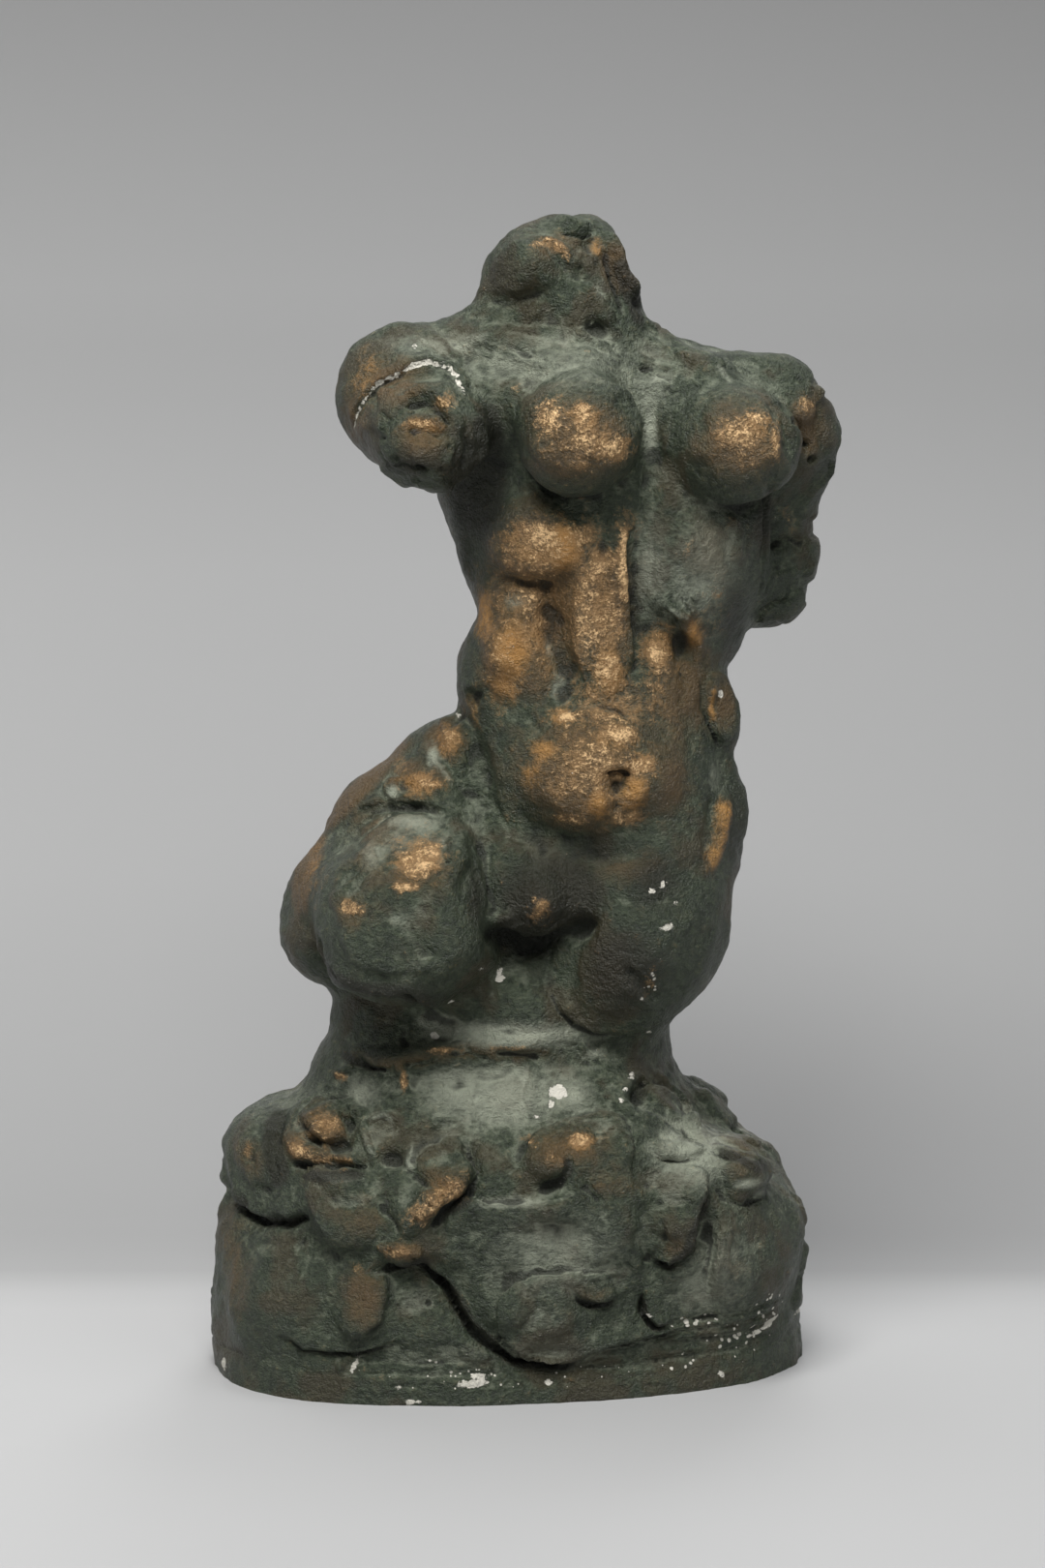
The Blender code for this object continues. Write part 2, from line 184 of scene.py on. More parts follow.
def fill_ramp(node, stops):
    """Gives a colour ramp its stops, each a place and a colour."""
    elements = node.color_ramp.elements
    while len(elements) < len(stops):
        elements.new(0.5)
    for element, (at, colour) in zip(elements, stops):
        element.position = at
        element.color = (*colour, 1)


def tone_and_shade_paper():
    made, nodes, links = material("paper")
    shader = nodes["Principled BSDF"]
    set_inputs(shader, {"Roughness": 0.9, "Specular IOR Level": 0.2})
    place = nodes.new("ShaderNodeTexCoord")
    split = nodes.new("ShaderNodeSeparateXYZ")
    # The grey by height, with its painted shade.
    ramp = nodes.new("ShaderNodeValToRGB")
    links.new(place.outputs["Object"], split.inputs[0])
    links.new(split.outputs["Z"], ramp.inputs["Fac"])
    fill_ramp(ramp, [(at, [tint * tone for tint in PAPER_TINT]) for at, tone in PAPER_TONE_AND_SHADE])
    # Painted falloff to the right, read from the paper's own X.
    across = nodes.new("ShaderNodeMapRange")
    set_inputs(across, PAPER_SHADE_ACROSS)
    links.new(split.outputs["X"], across.inputs["Value"])
    shade = nodes.new("ShaderNodeVectorMath")
    shade.operation = "MULTIPLY"
    links.new(ramp.outputs["Color"], shade.inputs[0])
    links.new(across.outputs[0], shade.inputs[1])
    links.new(shade.outputs[0], shader.inputs["Base Color"])
    side = nodes.new("ShaderNodeNewGeometry")
    clear = nodes.new("ShaderNodeBsdfTransparent")
    seen = nodes.new("ShaderNodeMixShader")
    links.new(side.outputs["Backfacing"], seen.inputs["Fac"])
    links.new(shader.outputs[0], seen.inputs[1])
    links.new(clear.outputs[0], seen.inputs[2])
    links.new(seen.outputs[0], nodes["Material Output"].inputs["Surface"])
    return made


toned = tone_and_shade_paper()
for sheet in (paper, floor):
    sheet.data.materials.append(toned)
print("paper: tones", [tone for _, tone in PAPER_TONE_AND_SHADE])

# %% [markdown]
# A long lens from two metres away keeps the proportions true, and it looks down a little, so the top
# of the rock shows. One large soft light stands high on the left, in front. A second one hangs above
# the camera. Weak ones open the shadows: on the right, low in front, high behind the figure, and
# beyond the paper, which lets light through. The room around them gives little light of its own, and
# beyond the paper it is a plain pale wall.

# %% Set up the camera and the lights
CAMERA_PLACE = (0.0058, -2.05, 0.55)
CAMERA_PITCH = 8.19
LENS = 109.32
SENSOR_WIDTH = 36
AIM = Vector((0, 0, 0.52 * height))
LIGHTS = {
    # name: place, width, power, warmth
    "left and high": ((-0.38, -1.00, 2.11), 1.0, 40, (1.0, 0.99, 0.97)),
    "high in front": ((0.08, -1.50, 1.95), 0.8, 16, (1.0, 1.0, 0.99)),
    "right and high": ((0.85, -0.49, 2.11), 0.8, 6, (0.97, 0.99, 1.0)),
    "low in front": ((0.86, -1.84, 0.80), 0.8, 2, (1.0, 1.0, 1.0)),
    "high behind": ((0.05, 0.36, 1.90), 0.6, 6, (1.0, 1.0, 1.0)),
    "beyond the paper": ((0.35, 1.70, 1.00), 0.8, 11, (1.0, 1.0, 1.0)),
}
ROOM_TONE = 0.10
WALL_TONE = 0.38


def set_up_camera():
    lens = bpy.data.cameras.new("camera")
    lens.sensor_width = SENSOR_WIDTH
    lens.lens = LENS
    camera = shown("camera", lens)
    camera.location = CAMERA_PLACE
    camera.rotation_euler = (math.radians(90 - CAMERA_PITCH), 0, 0)
    bpy.context.scene.camera = camera


def set_up_lights():
    for name, (place, width, power, warmth) in LIGHTS.items():
        lamp = bpy.data.lights.new(name, "AREA")
        lamp.size = width
        lamp.energy = power
        lamp.color = warmth
        holder = shown(name, lamp)
        holder.location = place
        aim = Vector(place) - AIM
        holder.rotation_euler = aim.to_track_quat("Z", "Y").to_euler()


def set_up_room():
    """The room lights the figure weakly, and shows itself to the camera as a paler wall."""
    room = bpy.data.worlds.new("room")
    room.use_nodes = True
    air = room.node_tree.nodes["Background"]
    air.inputs["Color"].default_value = (1, 1, 1, 1)
    path = room.node_tree.nodes.new("ShaderNodeLightPath")
    tone = room.node_tree.nodes.new("ShaderNodeMapRange")
    set_inputs(tone, {"To Min": ROOM_TONE, "To Max": WALL_TONE})
    room.node_tree.links.new(path.outputs["Is Camera Ray"], tone.inputs["Value"])
    room.node_tree.links.new(tone.outputs[0], air.inputs["Strength"])
    bpy.context.scene.world = room


set_up_camera()
set_up_lights()
set_up_room()
bpy.context.scene.view_settings.view_transform = "Standard"
print("lights:", ", ".join(LIGHTS))

# %% [markdown]
# ## The blank
#
# The frame's solid has the right forms in flat facets several millimetres wide. A copy of it becomes
# the blank to carve. Its doubles are merged, its underside is drawn down below the ground so that the
# smoothing can't round the bottom edge, one subdivision rounds the facets, and a voxel remesh gives it
# an even skin, fine enough for tool marks. Rubbing it smooth takes the last of the facets away.

# %% Make the blank
SPARE_BELOW = 8
ON_THE_GROUND = 0.5
VOXEL = 1.25
RUBS = 14


def drawn_down_copy(node):
    """A merged copy of a frame node's mesh, with its flat underside pushed down."""
    copy = bmesh.new()
    copy.from_mesh(bpy.data.objects[node].data)
    bmesh.ops.remove_doubles(copy, verts=copy.verts[:], dist=1e-6)
    low = [f for f in copy.faces if f.calc_center_median().z < ON_THE_GROUND * MM]
    sole = [f for f in low if f.normal.z < -0.99]
    grown = bmesh.ops.extrude_face_region(copy, geom=sole)["geom"]
    bmesh.ops.delete(copy, geom=sole, context="FACES_ONLY")
    lowered = [g for g in grown if isinstance(g, bmesh.types.BMVert)]
    bmesh.ops.translate(copy, verts=lowered, vec=(0, 0, -SPARE_BELOW * MM))
    return mesh_from(copy, "torso")


def worked(mesh, *steps):
    """The mesh after a stack of modifiers, each a kind and its settings."""
    holder = shown("holder", mesh)
    for kind, settings in steps:
        modifier = holder.modifiers.new(kind.lower(), kind)
        for key, value in settings.items():
            setattr(modifier, key, value)
    bpy.context.view_layer.update()
    seen = holder.evaluated_get(bpy.context.evaluated_depsgraph_get())
    result = bpy.data.meshes.new_from_object(seen)
    bpy.data.objects.remove(holder)
    return result


blank = worked(
    drawn_down_copy(NODE),
    ("SUBSURF", {"levels": 1, "render_levels": 1}),
    ("REMESH", {"mode": "VOXEL", "voxel_size": VOXEL * MM}),
    ("SMOOTH", {"factor": 0.5, "iterations": RUBS}),
)
print("blank: faces", len(blank.polygons))

# %% [markdown]
# ## Strokes
#
# Sculpting by hand comes down to a few strokes: swell, scrape flat, press a crease, lay on a pat,
# raise one side of an edge. In code each stroke finds its place by looking at the figure from one
# side, takes hold of the skin around that place with a strength that fades to its rim, and moves it
# along its normals. All points are kept in arrays, so a stroke costs a few milliseconds. The strokes
# are counted, so that each step can say how many it took.

# %% Hold the skin in arrays
VIEWS = {"front": 0, "right": 90, "back": 180, "left": 270}


def sums_around(values, one, other):
    """For each point, the sum of its neighbours' values: one and other are the edges' two ends."""
    total = np.zeros_like(values)
    for axis in range(3):
        total[:, axis] = np.bincount(one, values[other, axis], len(values))
        total[:, axis] += np.bincount(other, values[one, axis], len(values))
    return total


class Skin:
    """Points, normals and a search tree of the carved mesh."""

    def __init__(self, mesh):
        self.mesh = mesh
        self.object = shown("carving", mesh)
        self.strokes = 0
        self.points = np.empty((len(mesh.vertices), 3), np.float32)
        self.normals = np.empty_like(self.points)
        self.edges = np.empty((len(mesh.edges), 2), np.int32)
        mesh.vertices.foreach_get("co", self.points.ravel())
        mesh.edges.foreach_get("vertices", self.edges.ravel())
        self.count = np.bincount(self.edges.ravel(), minlength=len(self.points))
        self.settle()

    def settle(self):
        """Gives the moved points back to the mesh, and measures its normals again."""
        self.mesh.vertices.foreach_set("co", self.points.ravel())
        self.mesh.update()
        self.mesh.vertex_normals.foreach_get("vector", self.normals.ravel())
        bpy.context.view_layer.update()
        graph = bpy.context.evaluated_depsgraph_get()
        self.tree = BVHTree.FromObject(self.object, graph)

    def done(self, step):
        """Settles the skin and says how many strokes a step took."""
        self.settle()
        print(step + ": strokes", self.strokes)
        self.strokes = 0

    def standing(self, passes):
        """How many millimetres each point stands out from a patch that grows with the passes."""
        calm = self.points.astype(float)
        for _ in range(passes):
            calm = sums_around(calm, *self.edges.T) / self.count[:, None]
        return np.einsum("ij,ij->i", self.points - calm, self.normals) / MM


class Spot:
    """A point of the skin, with the directions out of the skin, across it and up it."""

    def __init__(self, centre, out):
        self.centre = np.array(centre)
        self.out = np.array(out) / np.linalg.norm(out)
        across = np.cross((0, 0, 1), self.out)
        self.across = across / max(np.linalg.norm(across), 1e-6)
        self.up = np.cross(self.out, self.across)


def out_of(view):
    azimuth = math.radians(VIEWS.get(view, view))
    return np.array((math.sin(azimuth), -math.cos(azimuth), 0))


def touch(view, place):
    """The spot that a view shows at (across, up) in millimetres, or None beside the figure."""
    out = out_of(view)
    flat = (np.array((-out[1], out[0], 0)) * place[0] + np.array((0, 0, place[1]))) * MM
    hit = skin.tree.ray_cast(Vector(flat + out), Vector(-out))[0]
    return None if hit is None else Spot(hit, out)


skin = Skin(blank)
print("points:", len(skin.points))

# %% [markdown]
# `swell` raises or sinks an oval, `scrape` flattens it as a paddle does, and `pat` lays on a flat
# cake of clay whose rim is steep and a little ragged.

# %% Strokes on an oval
RIM_PHASE = 300


def in_the_oval(offset, spot, size, turn):
    """Offsets from a spot, along and across a turned oval, as shares of its two half-sizes."""
    angle = math.radians(turn)
    a, b = offset @ spot.across, offset @ spot.up
    u = (a * math.cos(angle) + b * math.sin(angle)) / size[0]
    v = (b * math.cos(angle) - a * math.sin(angle)) / size[1]
    return u, v


def oval(spot, size, turn=0):
    """The points near a spot: their numbers, rim distance, angle, and how far each faces out."""
    skin.strokes += 1
    reach = 1.25 * max(size) + 2
    near = np.abs(skin.points - spot.centre).max(1) < reach * MM
    places = np.flatnonzero(near)
    u, v = in_the_oval((skin.points[places] - spot.centre) / MM, spot, size, turn)
    hold = np.clip(2.2 * skin.normals[places] @ spot.out + 0.3, 0, 1)
    return places, np.hypot(u, v), np.arctan2(v, u), hold


def ease(share):
    """A share from 0 to 1 that starts and ends gently."""
    return share * share * (3 - 2 * share)


def push(places, amount):
    """Moves points along their normals by millimetres."""
    skin.points[places] += skin.normals[places] * (amount * MM)[:, None]


def swell_at(spot, size, lift, turn=0, fullness=2):
    places, spread, _, hold = oval(spot, size, turn)
    push(places, (1 - np.minimum(spread, 1) ** fullness) ** 2 * hold * lift)


def scrape_at(spot, size, turn=0, strength=0.8):
    places, spread, _, hold = oval(spot, size, turn)
    hold = (1 - np.minimum(spread, 1) ** 4) ** 2 * hold
    centre = hold @ skin.points[places] / hold.sum()
    plane = hold @ skin.normals[places]
    plane /= np.linalg.norm(plane)
    above = (skin.points[places] - centre) @ plane
    skin.points[places] -= plane * (hold * strength * above)[:, None]


def pat_at(spot, size, lift, turn=0, rim=0.3, tilt=0.0, ragged=0.16):
    """A cake of clay. rim is a share of its size; tilt thickens its upper side. No two rims are alike."""
    places, spread, around, hold = oval(spot, size, turn)
    start = float(spot.centre[0] + spot.centre[2]) * RIM_PHASE
    waves = np.sin(3 * around + start) + 0.6 * np.sin(5 * around + 2 * start)
    spread = spread / (1 + ragged * waves)
    rise = ease(np.clip((1 - spread) / rim, 0, 1))
    push(places, rise * hold * lift * (1 + tilt * np.sin(around) * np.minimum(spread, 1)))


def swell(place, *rest, view="front", **more):
    swell_at(touch(view, place), *rest, **more)


def scrape(place, *rest, view="front", **more):
    scrape_at(touch(view, place), *rest, **more)


def pat(place, *rest, view="front", **more):
    pat_at(touch(view, place), *rest, **more)


# %% [markdown]
# `groove` presses a line along a path, and `ridge` raises one. `ledge` raises the skin on one side of
# a path only, which leaves the crisp step of one layer of clay over another. `lap` is a ledge with
# the dark gap that the edge of a layer leaves under it. `rub` takes an edge off again, as a wet
# thumb does: every point in a band moves towards the mean of its neighbours, several times over.

# %% Strokes along a path
STEP = 1.2
GAP_WIDTH = 2.6


def trace(view, path):
    """Points of the skin under a path, about STEP apart, and how far along each one is."""
    line = []
    for start, end in zip(path, path[1:]):
        steps = max(1, round(math.dist(start, end) / STEP))
        for k in range(steps + (end is path[-1])):
            line.append(touch(view, [s + (e - s) * k / steps for s, e in zip(start, end)]))
    line = np.array([spot.centre for spot in line if spot])
    return line, np.linspace(0, 1, len(line))


def near_line(line, width):
    """The points within a width of a line, their distance as a share of it, and the nearest step."""
    skin.strokes += 1
    margin = width * MM
    inside = (skin.points > line.min(0) - margin) & (skin.points < line.max(0) + margin)
    places = np.flatnonzero(inside.all(1))
    gaps = np.linalg.norm(skin.points[places, None] - line[None], axis=2)
    nearest = gaps.argmin(1)
    gaps = gaps[np.arange(len(places)), nearest] / margin
    keep = gaps < 1
    return places[keep], gaps[keep], nearest[keep]


def fade(along, ends):
    return np.minimum(1, 0.15 + np.minimum(along, 1 - along) / ends)


def groove(path, width, depth, ends=0.2, sharp=1.6, view="front"):
    line, along = trace(view, path)
    places, gaps, nearest = near_line(line, width)
    push(places, -((1 - gaps) ** sharp) * fade(along, ends)[nearest] * depth)


def ridge(path, width, lift, ends=0.25, view="front"):
    line, along = trace(view, path)
    places, gaps, nearest = near_line(line, width)
    push(places, (1 - gaps * gaps) ** 2 * fade(along, ends)[nearest] * lift)


def ledge(path, width, lift, ends=0.2, edge=1.0, view="front"):
    """Raises the skin to the left of the path, as the view sees it."""
    line, along = trace(view, path)
    places, gaps, nearest = near_line(line, width)
    heading = np.gradient(line, axis=0)[nearest]
    offset = skin.points[places] - line[nearest]
    side = np.einsum("ij,ij->i", np.cross(out_of(view), heading), offset)
    side /= np.linalg.norm(heading, axis=1) * MM
    rise = np.clip(0.5 + side / edge, 0, 1) * np.clip(1.3 - 1.3 * gaps, 0, 1)
    push(places, rise * fade(along, ends)[nearest] * lift)


def lap(path, width, lift, gap=1.5, view="front"):
    ledge(path, width, lift, view=view)
    groove(path, GAP_WIDTH, gap, sharp=1, view=view)


def rub(path, width, passes, view="front"):
    line, _ = trace(view, path)
    places, gaps, _ = near_line(line, width)
    ends = skin.edges[np.isin(skin.edges, places).any(1)]
    around, ends = np.unique(ends, return_inverse=True)
    one, other = ends.reshape(-1, 2).T
    count = np.bincount(np.concatenate((one, other)), minlength=len(around))
    hold = np.zeros((len(around), 1))
    hold[np.searchsorted(around, places), 0] = (1 - gaps**4) / 2
    spots = skin.points[around].astype(float)
    for _ in range(passes):
        spots += hold * (sums_around(spots, one, other) / count[:, None] - spots)
    skin.points[around] = spots


# %% [markdown]
# ## Planes left by the hand
#
# A modelled figure is never as round as its anatomy. Before the details, the whole of it is gone over
# with small scrapes and thumb strokes, drawn at random from a fixed seed. The subdivision above can
# differ in its last digits from run to run, and that is enough to move these marks, so that the skin
# of two runs lies about half a millimetre apart. Later, when the forms are there, a second round
# leaves smaller and crisper marks.

# %% Go over the whole figure by hand
HAND_SEED = 7
HAND_HEIGHTS = (6, 498)
SETTLE_EVERY = 90


def anywhere(hand):
    """A random spot of the skin, between two heights in millimetres."""
    height_mm = skin.points[:, 2] / MM
    low, high = HAND_HEIGHTS
    number = hand.choice(np.flatnonzero((height_mm > low) & (height_mm < high)))
    return Spot(skin.points[number], skin.normals[number])


def go_over_by_hand(strokes, length, depth, seed):
    """Random thumb strokes and scrapes, each up to a length and a depth in millimetres."""
    hand = np.random.default_rng(seed)
    for number in range(strokes):
        spot = anywhere(hand)
        size = (hand.uniform(0.4, 1) * length, hand.uniform(0.2, 0.45) * length)
        turn = hand.uniform(-70, 70)
        if number % 3 == 0:
            scrape_at(spot, size, turn, 0.5)
        else:
            swell_at(spot, size, hand.choice((-1, 1)) * hand.uniform(0.3, 1) * depth, turn)
        if number % SETTLE_EVERY == SETTLE_EVERY - 1:
            skin.settle()


go_over_by_hand(strokes=420, length=20, depth=0.6, seed=HAND_SEED)
skin.done("first round by hand")

# %% [markdown]
# ## The figure
#
# The forms are worked from the neck down. The neck stump is what is left of a head thrown back: the
# underside of the chin bulges over the throat, a lock of hair runs down its right edge, and the break
# has left a small cavity in the top.

# %% Neck and collar


def work_the_neck():
    swell((4, 486), (16, 16), 3.6)
    scrape((2, 478), (12, 12), strength=0.6)
    # The chin, and the soft crease between it and the throat.
    swell((6, 479), (16, 13), 0.8)
    groove([(-12, 468), (-3, 463), (8, 466), (18, 470), (28, 471)], 6, 1.2)
    swell((27, 476), (7, 6), -1.4)
    # The torn top, with its slit between two lips.
    ridge([(22, 498), (28, 497), (35, 496)], 4, 1.6)
    groove([(23, 495), (27, 494), (31, 493), (35, 495)], 3.2, 4.2, ends=0.1)
    ridge([(26, 491), (31, 490), (35, 492)], 2.6, 1.4)
    ridge([(8, 487), (12, 489), (17, 490), (21, 488), (24, 484), (28, 480)], 4, 2.0)
    groove([(8, 483), (15, 485), (20, 482), (25, 477)], 4, 1.4)
    for place in ((28, 486), (31, 483), (26, 483), (30, 479), (34, 486), (37, 481)):
        swell(place, (2.2, 1.8), -1.3)
    # The flat lock with its torn left edge, the groove, and the outer lock along the outline.
    ledge([(29, 473), (33, 473), (37, 468), (41, 463), (46, 457)][::-1], 8, 2.2, edge=0.8)
    groove([(29, 472), (33, 472), (37, 467), (41, 462), (46, 456)], 2.6, 1.8)
    groove([(41, 487), (44, 475), (47, 465), (50, 458)], 3.4, 3.0)
    ridge([(38, 497), (44, 489), (48, 480), (52, 471), (56, 462)], 4.5, 2.4)
    for place in ((46, 484), (50, 471), (54, 463)):
        swell(place, (2.2, 3.4), -1.6, turn=30)
    for path in ([(10, 467), (10, 461), (9, 456)], [(14, 465), (12, 459), (10, 457)]):
        ridge(path, 2, 0.6)
    # The lip over the pit of the neck.
    swell((38, 453), (8, 4.5), -2.4, turn=-22)
    ledge([(45, 446), (40, 446.5), (35, 449), (29, 453)], 6, 2.2, edge=0.8)
    groove([(45, 445), (40, 445.5), (35, 448), (29, 452)], 2.4, 1.2)
    # Collar bones: thin folds of clay.
    ledge([(22, 455), (8, 454), (-1, 455)], 5, 0.9)
    ridge([(-23, 448), (-15, 449), (-7, 450), (-2, 451)], 3, 1.0)
    ledge([(-4, 449), (-15, 447.5), (-25, 446)], 6, 0.8)
    ridge([(-17, 445), (-11, 442), (-6, 441)], 2, 0.8)
    ridge([(-2, 442), (3, 440.5), (8, 439), (19, 437)], 2, 1.0)
    groove([(-2, 444), (6, 443), (14, 441)], 3, 1.1)
    swell((58, 437), (5, 2), -2.4)
    ledge([(53, 433), (60, 434), (68, 436)], 5, 0.9)
    for path in ([(57, 436), (64, 431), (71, 426)], [(88, 439), (92, 434), (95, 430)]):
        ridge(path, 2.4, 1.2)
    groove([(84, 439), (88, 433), (92, 428)], 3, 1.4)
    ridge([(55, 457), (68, 449), (79, 443)], 5, 1.2)
    ridge([(67, 447), (73, 443), (79, 441)], 2.4, 0.8)
    groove([(60, 452), (70, 446), (84, 441)], 4, 0.8)


work_the_neck()
skin.done("neck and collar")

# %% [markdown]
# The near arm is cut off short and its stump turned forwards. The cast broke there once: the crack
# runs round the stump and was filled with white plaster. The end of the stump is torn clay.

# %% The shoulders and the two arms
ARM_CRACK = [
    (-66, 411), (-64, 418), (-60, 426), (-55, 431), (-48, 434),
    (-42, 438), (-34, 440), (-26, 438), (-22, 434), (-19, 427),
]  # fmt: skip


def work_the_near_arm():
    ledge([(-36, 454), (-27, 449), (-20, 442), (-18, 434)][::-1], 7, 1.2, edge=2)
    ledge(ARM_CRACK, 7, 1.6, ends=0.1)
    groove(ARM_CRACK, 2.6, 1.2, ends=0.05)
    for place, size, lift in (
        ((-50, 424), (7, 6), 1.4),
        ((-57, 416), (6, 6), 1.2),
        ((-44, 406), (10, 8), 1.6),
        ((-31, 402), (9, 9), 1.4),
        ((-46, 394), (9, 6), 1.4),
        ((-33, 391), (9, 5), 1.8),
    ):
        pat(place, size, lift, turn=place[0] * 0.7)
    # The tear: an upper lip in an arc, a slit, and a bright lower lip.
    swell((-33, 422), (11, 6), -2.2, turn=-8)
    ridge([(-46, 424), (-42, 428), (-35, 429), (-28, 425), (-21, 417), (-19, 408)], 4.5, 2.4)
    groove([(-44, 423), (-35, 425), (-28, 420), (-24, 415)], 3, 3.6, ends=0.1)
    ridge([(-44, 414), (-38, 417.5), (-31, 417), (-25, 414)], 4, 2.8)
    groove([(-45, 411), (-36, 413), (-27, 409)], 4, 1.6)
    ridge([(-17, 422), (-12, 414), (-11, 404), (-16, 396)], 5, 2.0)
    groove([(-20, 414), (-17, 404), (-20, 396)], 4, 2.4)
    groove([(-54, 404), (-49, 398), (-44, 396), (-40, 401)], 3.5, 1.4)
    for place in ((-29, 397), (-38, 398), (-52, 409), (-25, 406), (-33, 408), (-47, 402)):
        swell(place, (2.5, 2), -1.5)


def work_the_far_arm():
    # The jagged groove between shoulder and breast, with its pits.
    groove([(110, 430), (114, 425), (119, 418), (124, 410), (130, 399)], 4.5, 3.4)
    for place in ((113, 427), (117, 421), (121, 415), (128, 404), (131, 397), (124, 405)):
        swell(place, (3, 2.6), -2.6)
    pat((126, 421), (8, 9), 1.8, turn=20)
    pat((104, 438), (16, 9), 1.2, turn=-20, view=30)
    groove([(111, 394), (110, 380), (110, 362), (109, 345), (107, 330)], 4, 2.4)
    swell((118, 358), (5, 4), -4)
    for place, size, lift, turn in (
        ((6, 412), (12, 14), 1.2, 10),
        ((16, 380), (10, 14), 1.6, 0),
        ((26, 352), (11, 12), 1.8, 15),
        ((8, 340), (9, 9), 1.6, -15),
        ((20, 330), (9, 7), 1.6, 10),
    ):
        pat(place, size, lift, turn=turn, view="right")
    groove([(4, 362), (14, 358), (30, 361)], 3.5, 2.2, view="right")
    groove([(20, 402), (18, 388), (22, 372)], 4, 1.8, view="right")
    groove([(2, 396), (12, 392), (24, 394)], 3.5, 1.6, view="right")


work_the_near_arm()
work_the_far_arm()
skin.done("shoulders and arms")

# %% [markdown]
# The chest and belly are built of planes that meet in soft ridges. A line runs down the breastbone to
# the navel, a little to the right of the middle, and the surface steps down along it.

# %% Chest, ribs and belly


def work_the_breasts():
    # The tops run into the chest; only the undersides keep an edge.
    for place, size in (
        ((30, 439), (26, 11)), ((92, 437), (22, 11)), ((2, 420), (8, 16)), ((68, 412), (7, 20)),
    ):  # fmt: skip
        swell(place, size, 2.4)
    rub([(4, 410), (7, 421), (12, 429), (20, 433), (33, 436), (46, 433), (55, 425), (58, 413)], 12, 90)
    rub([(76, 394), (73, 406), (75, 418), (83, 428), (92, 430), (106, 429), (114, 424)], 12, 90)
    groove([(6, 396), (13, 387), (24, 383), (37, 383), (49, 390)], 4.5, 2.2)
    groove([(82, 385), (90, 379), (99, 377), (108, 379)], 4.5, 2.4)
    # Planes on the two forms, and the ridges where they meet.
    scrape((48, 420), (9, 13), turn=12, strength=0.9)
    scrape((16, 412), (10, 15), turn=8, strength=0.7)
    scrape((80, 412), (8, 15), strength=0.7)
    scrape((96, 422), (14, 6), turn=-6, strength=0.6)
    ridge([(27, 425), (34, 421), (36, 412), (34, 405), (40, 399)], 5, 1.1)
    ridge([(113, 421), (112, 410), (109, 399)], 5, 1.2)
    swell((24, 398), (12, 6), 0.8)
    groove([(59, 428), (61, 412), (59, 396), (55, 382)], 6, 1.2)
    ridge([(68, 420), (69, 404), (67, 390)], 6, 0.8)


def work_the_ribs():
    # The last rib, and the hollow under it.
    scrape((10, 364), (23, 19), strength=0.95)
    swell((22, 366), (14, 12), 0.8, turn=-12)
    groove([(-9, 349), (0, 347), (10, 344), (20, 343), (30, 347)], 11, 0.4)
    swell((32, 352), (10, 16), 1.6)
    # The muscle of the flank: a flat pale top, a full front, and the channel beside it.
    scrape((4, 337), (13, 9), strength=0.95)
    ledge([(-8, 343), (2, 345), (12, 341), (15, 334)][::-1], 7, 1.2, edge=1.4)
    swell((-3, 318), (11, 18), 3.2, turn=-8)
    swell((9, 305), (9, 14), 1.2)
    swell((16.5, 337), (7, 7), -0.5)
    groove([(17, 342), (17, 330), (19, 318), (24, 306), (25, 294)], 10, 1.3)
    groove([(-12, 300), (-4, 294), (6, 290), (14, 284)], 8, 1.4)
    # The strip beside the middle line, the step at its left, and the crisp one at its right.
    ledge([(31, 345), (29, 332), (29, 318), (32, 302)], 10, 1.2, edge=3.4)
    swell((32, 326), (11, 26), 1.8)
    ledge([(53, 306), (52, 320), (51, 334), (50, 348), (49, 362), (50, 374)], 10, 2.4, edge=1.2)
    ridge([(51, 374), (49, 362), (49, 350), (50, 340)], 2.6, 0.9)
    swell((60, 352), (8, 26), -1.8)
    groove([(56, 376), (54, 358), (55, 338)], 3, 1.0)
    # The far ribs: two bumps, a fold like a tick, and a hooked ridge over a pit.
    swell((76, 363), (7, 11), 1.4)
    ridge([(92, 376), (98, 368), (97, 354)], 5, 1.5)
    swell((66, 316), (8, 14), 1.6)
    ridge([(67, 337), (72, 333), (78, 331)], 2.4, 1.7)
    ridge([(75, 343), (77, 337), (79, 333)], 2.2, 1.5)
    ridge([(71, 330), (77, 327), (81, 321), (82, 312)], 4, 2.2)
    swell((73, 320), (4.5, 7), -1.0)
    groove([(74, 312), (75, 302), (72, 292)], 5, 1.2)
    groove([(66, 334), (70, 328)], 3, 1.2)


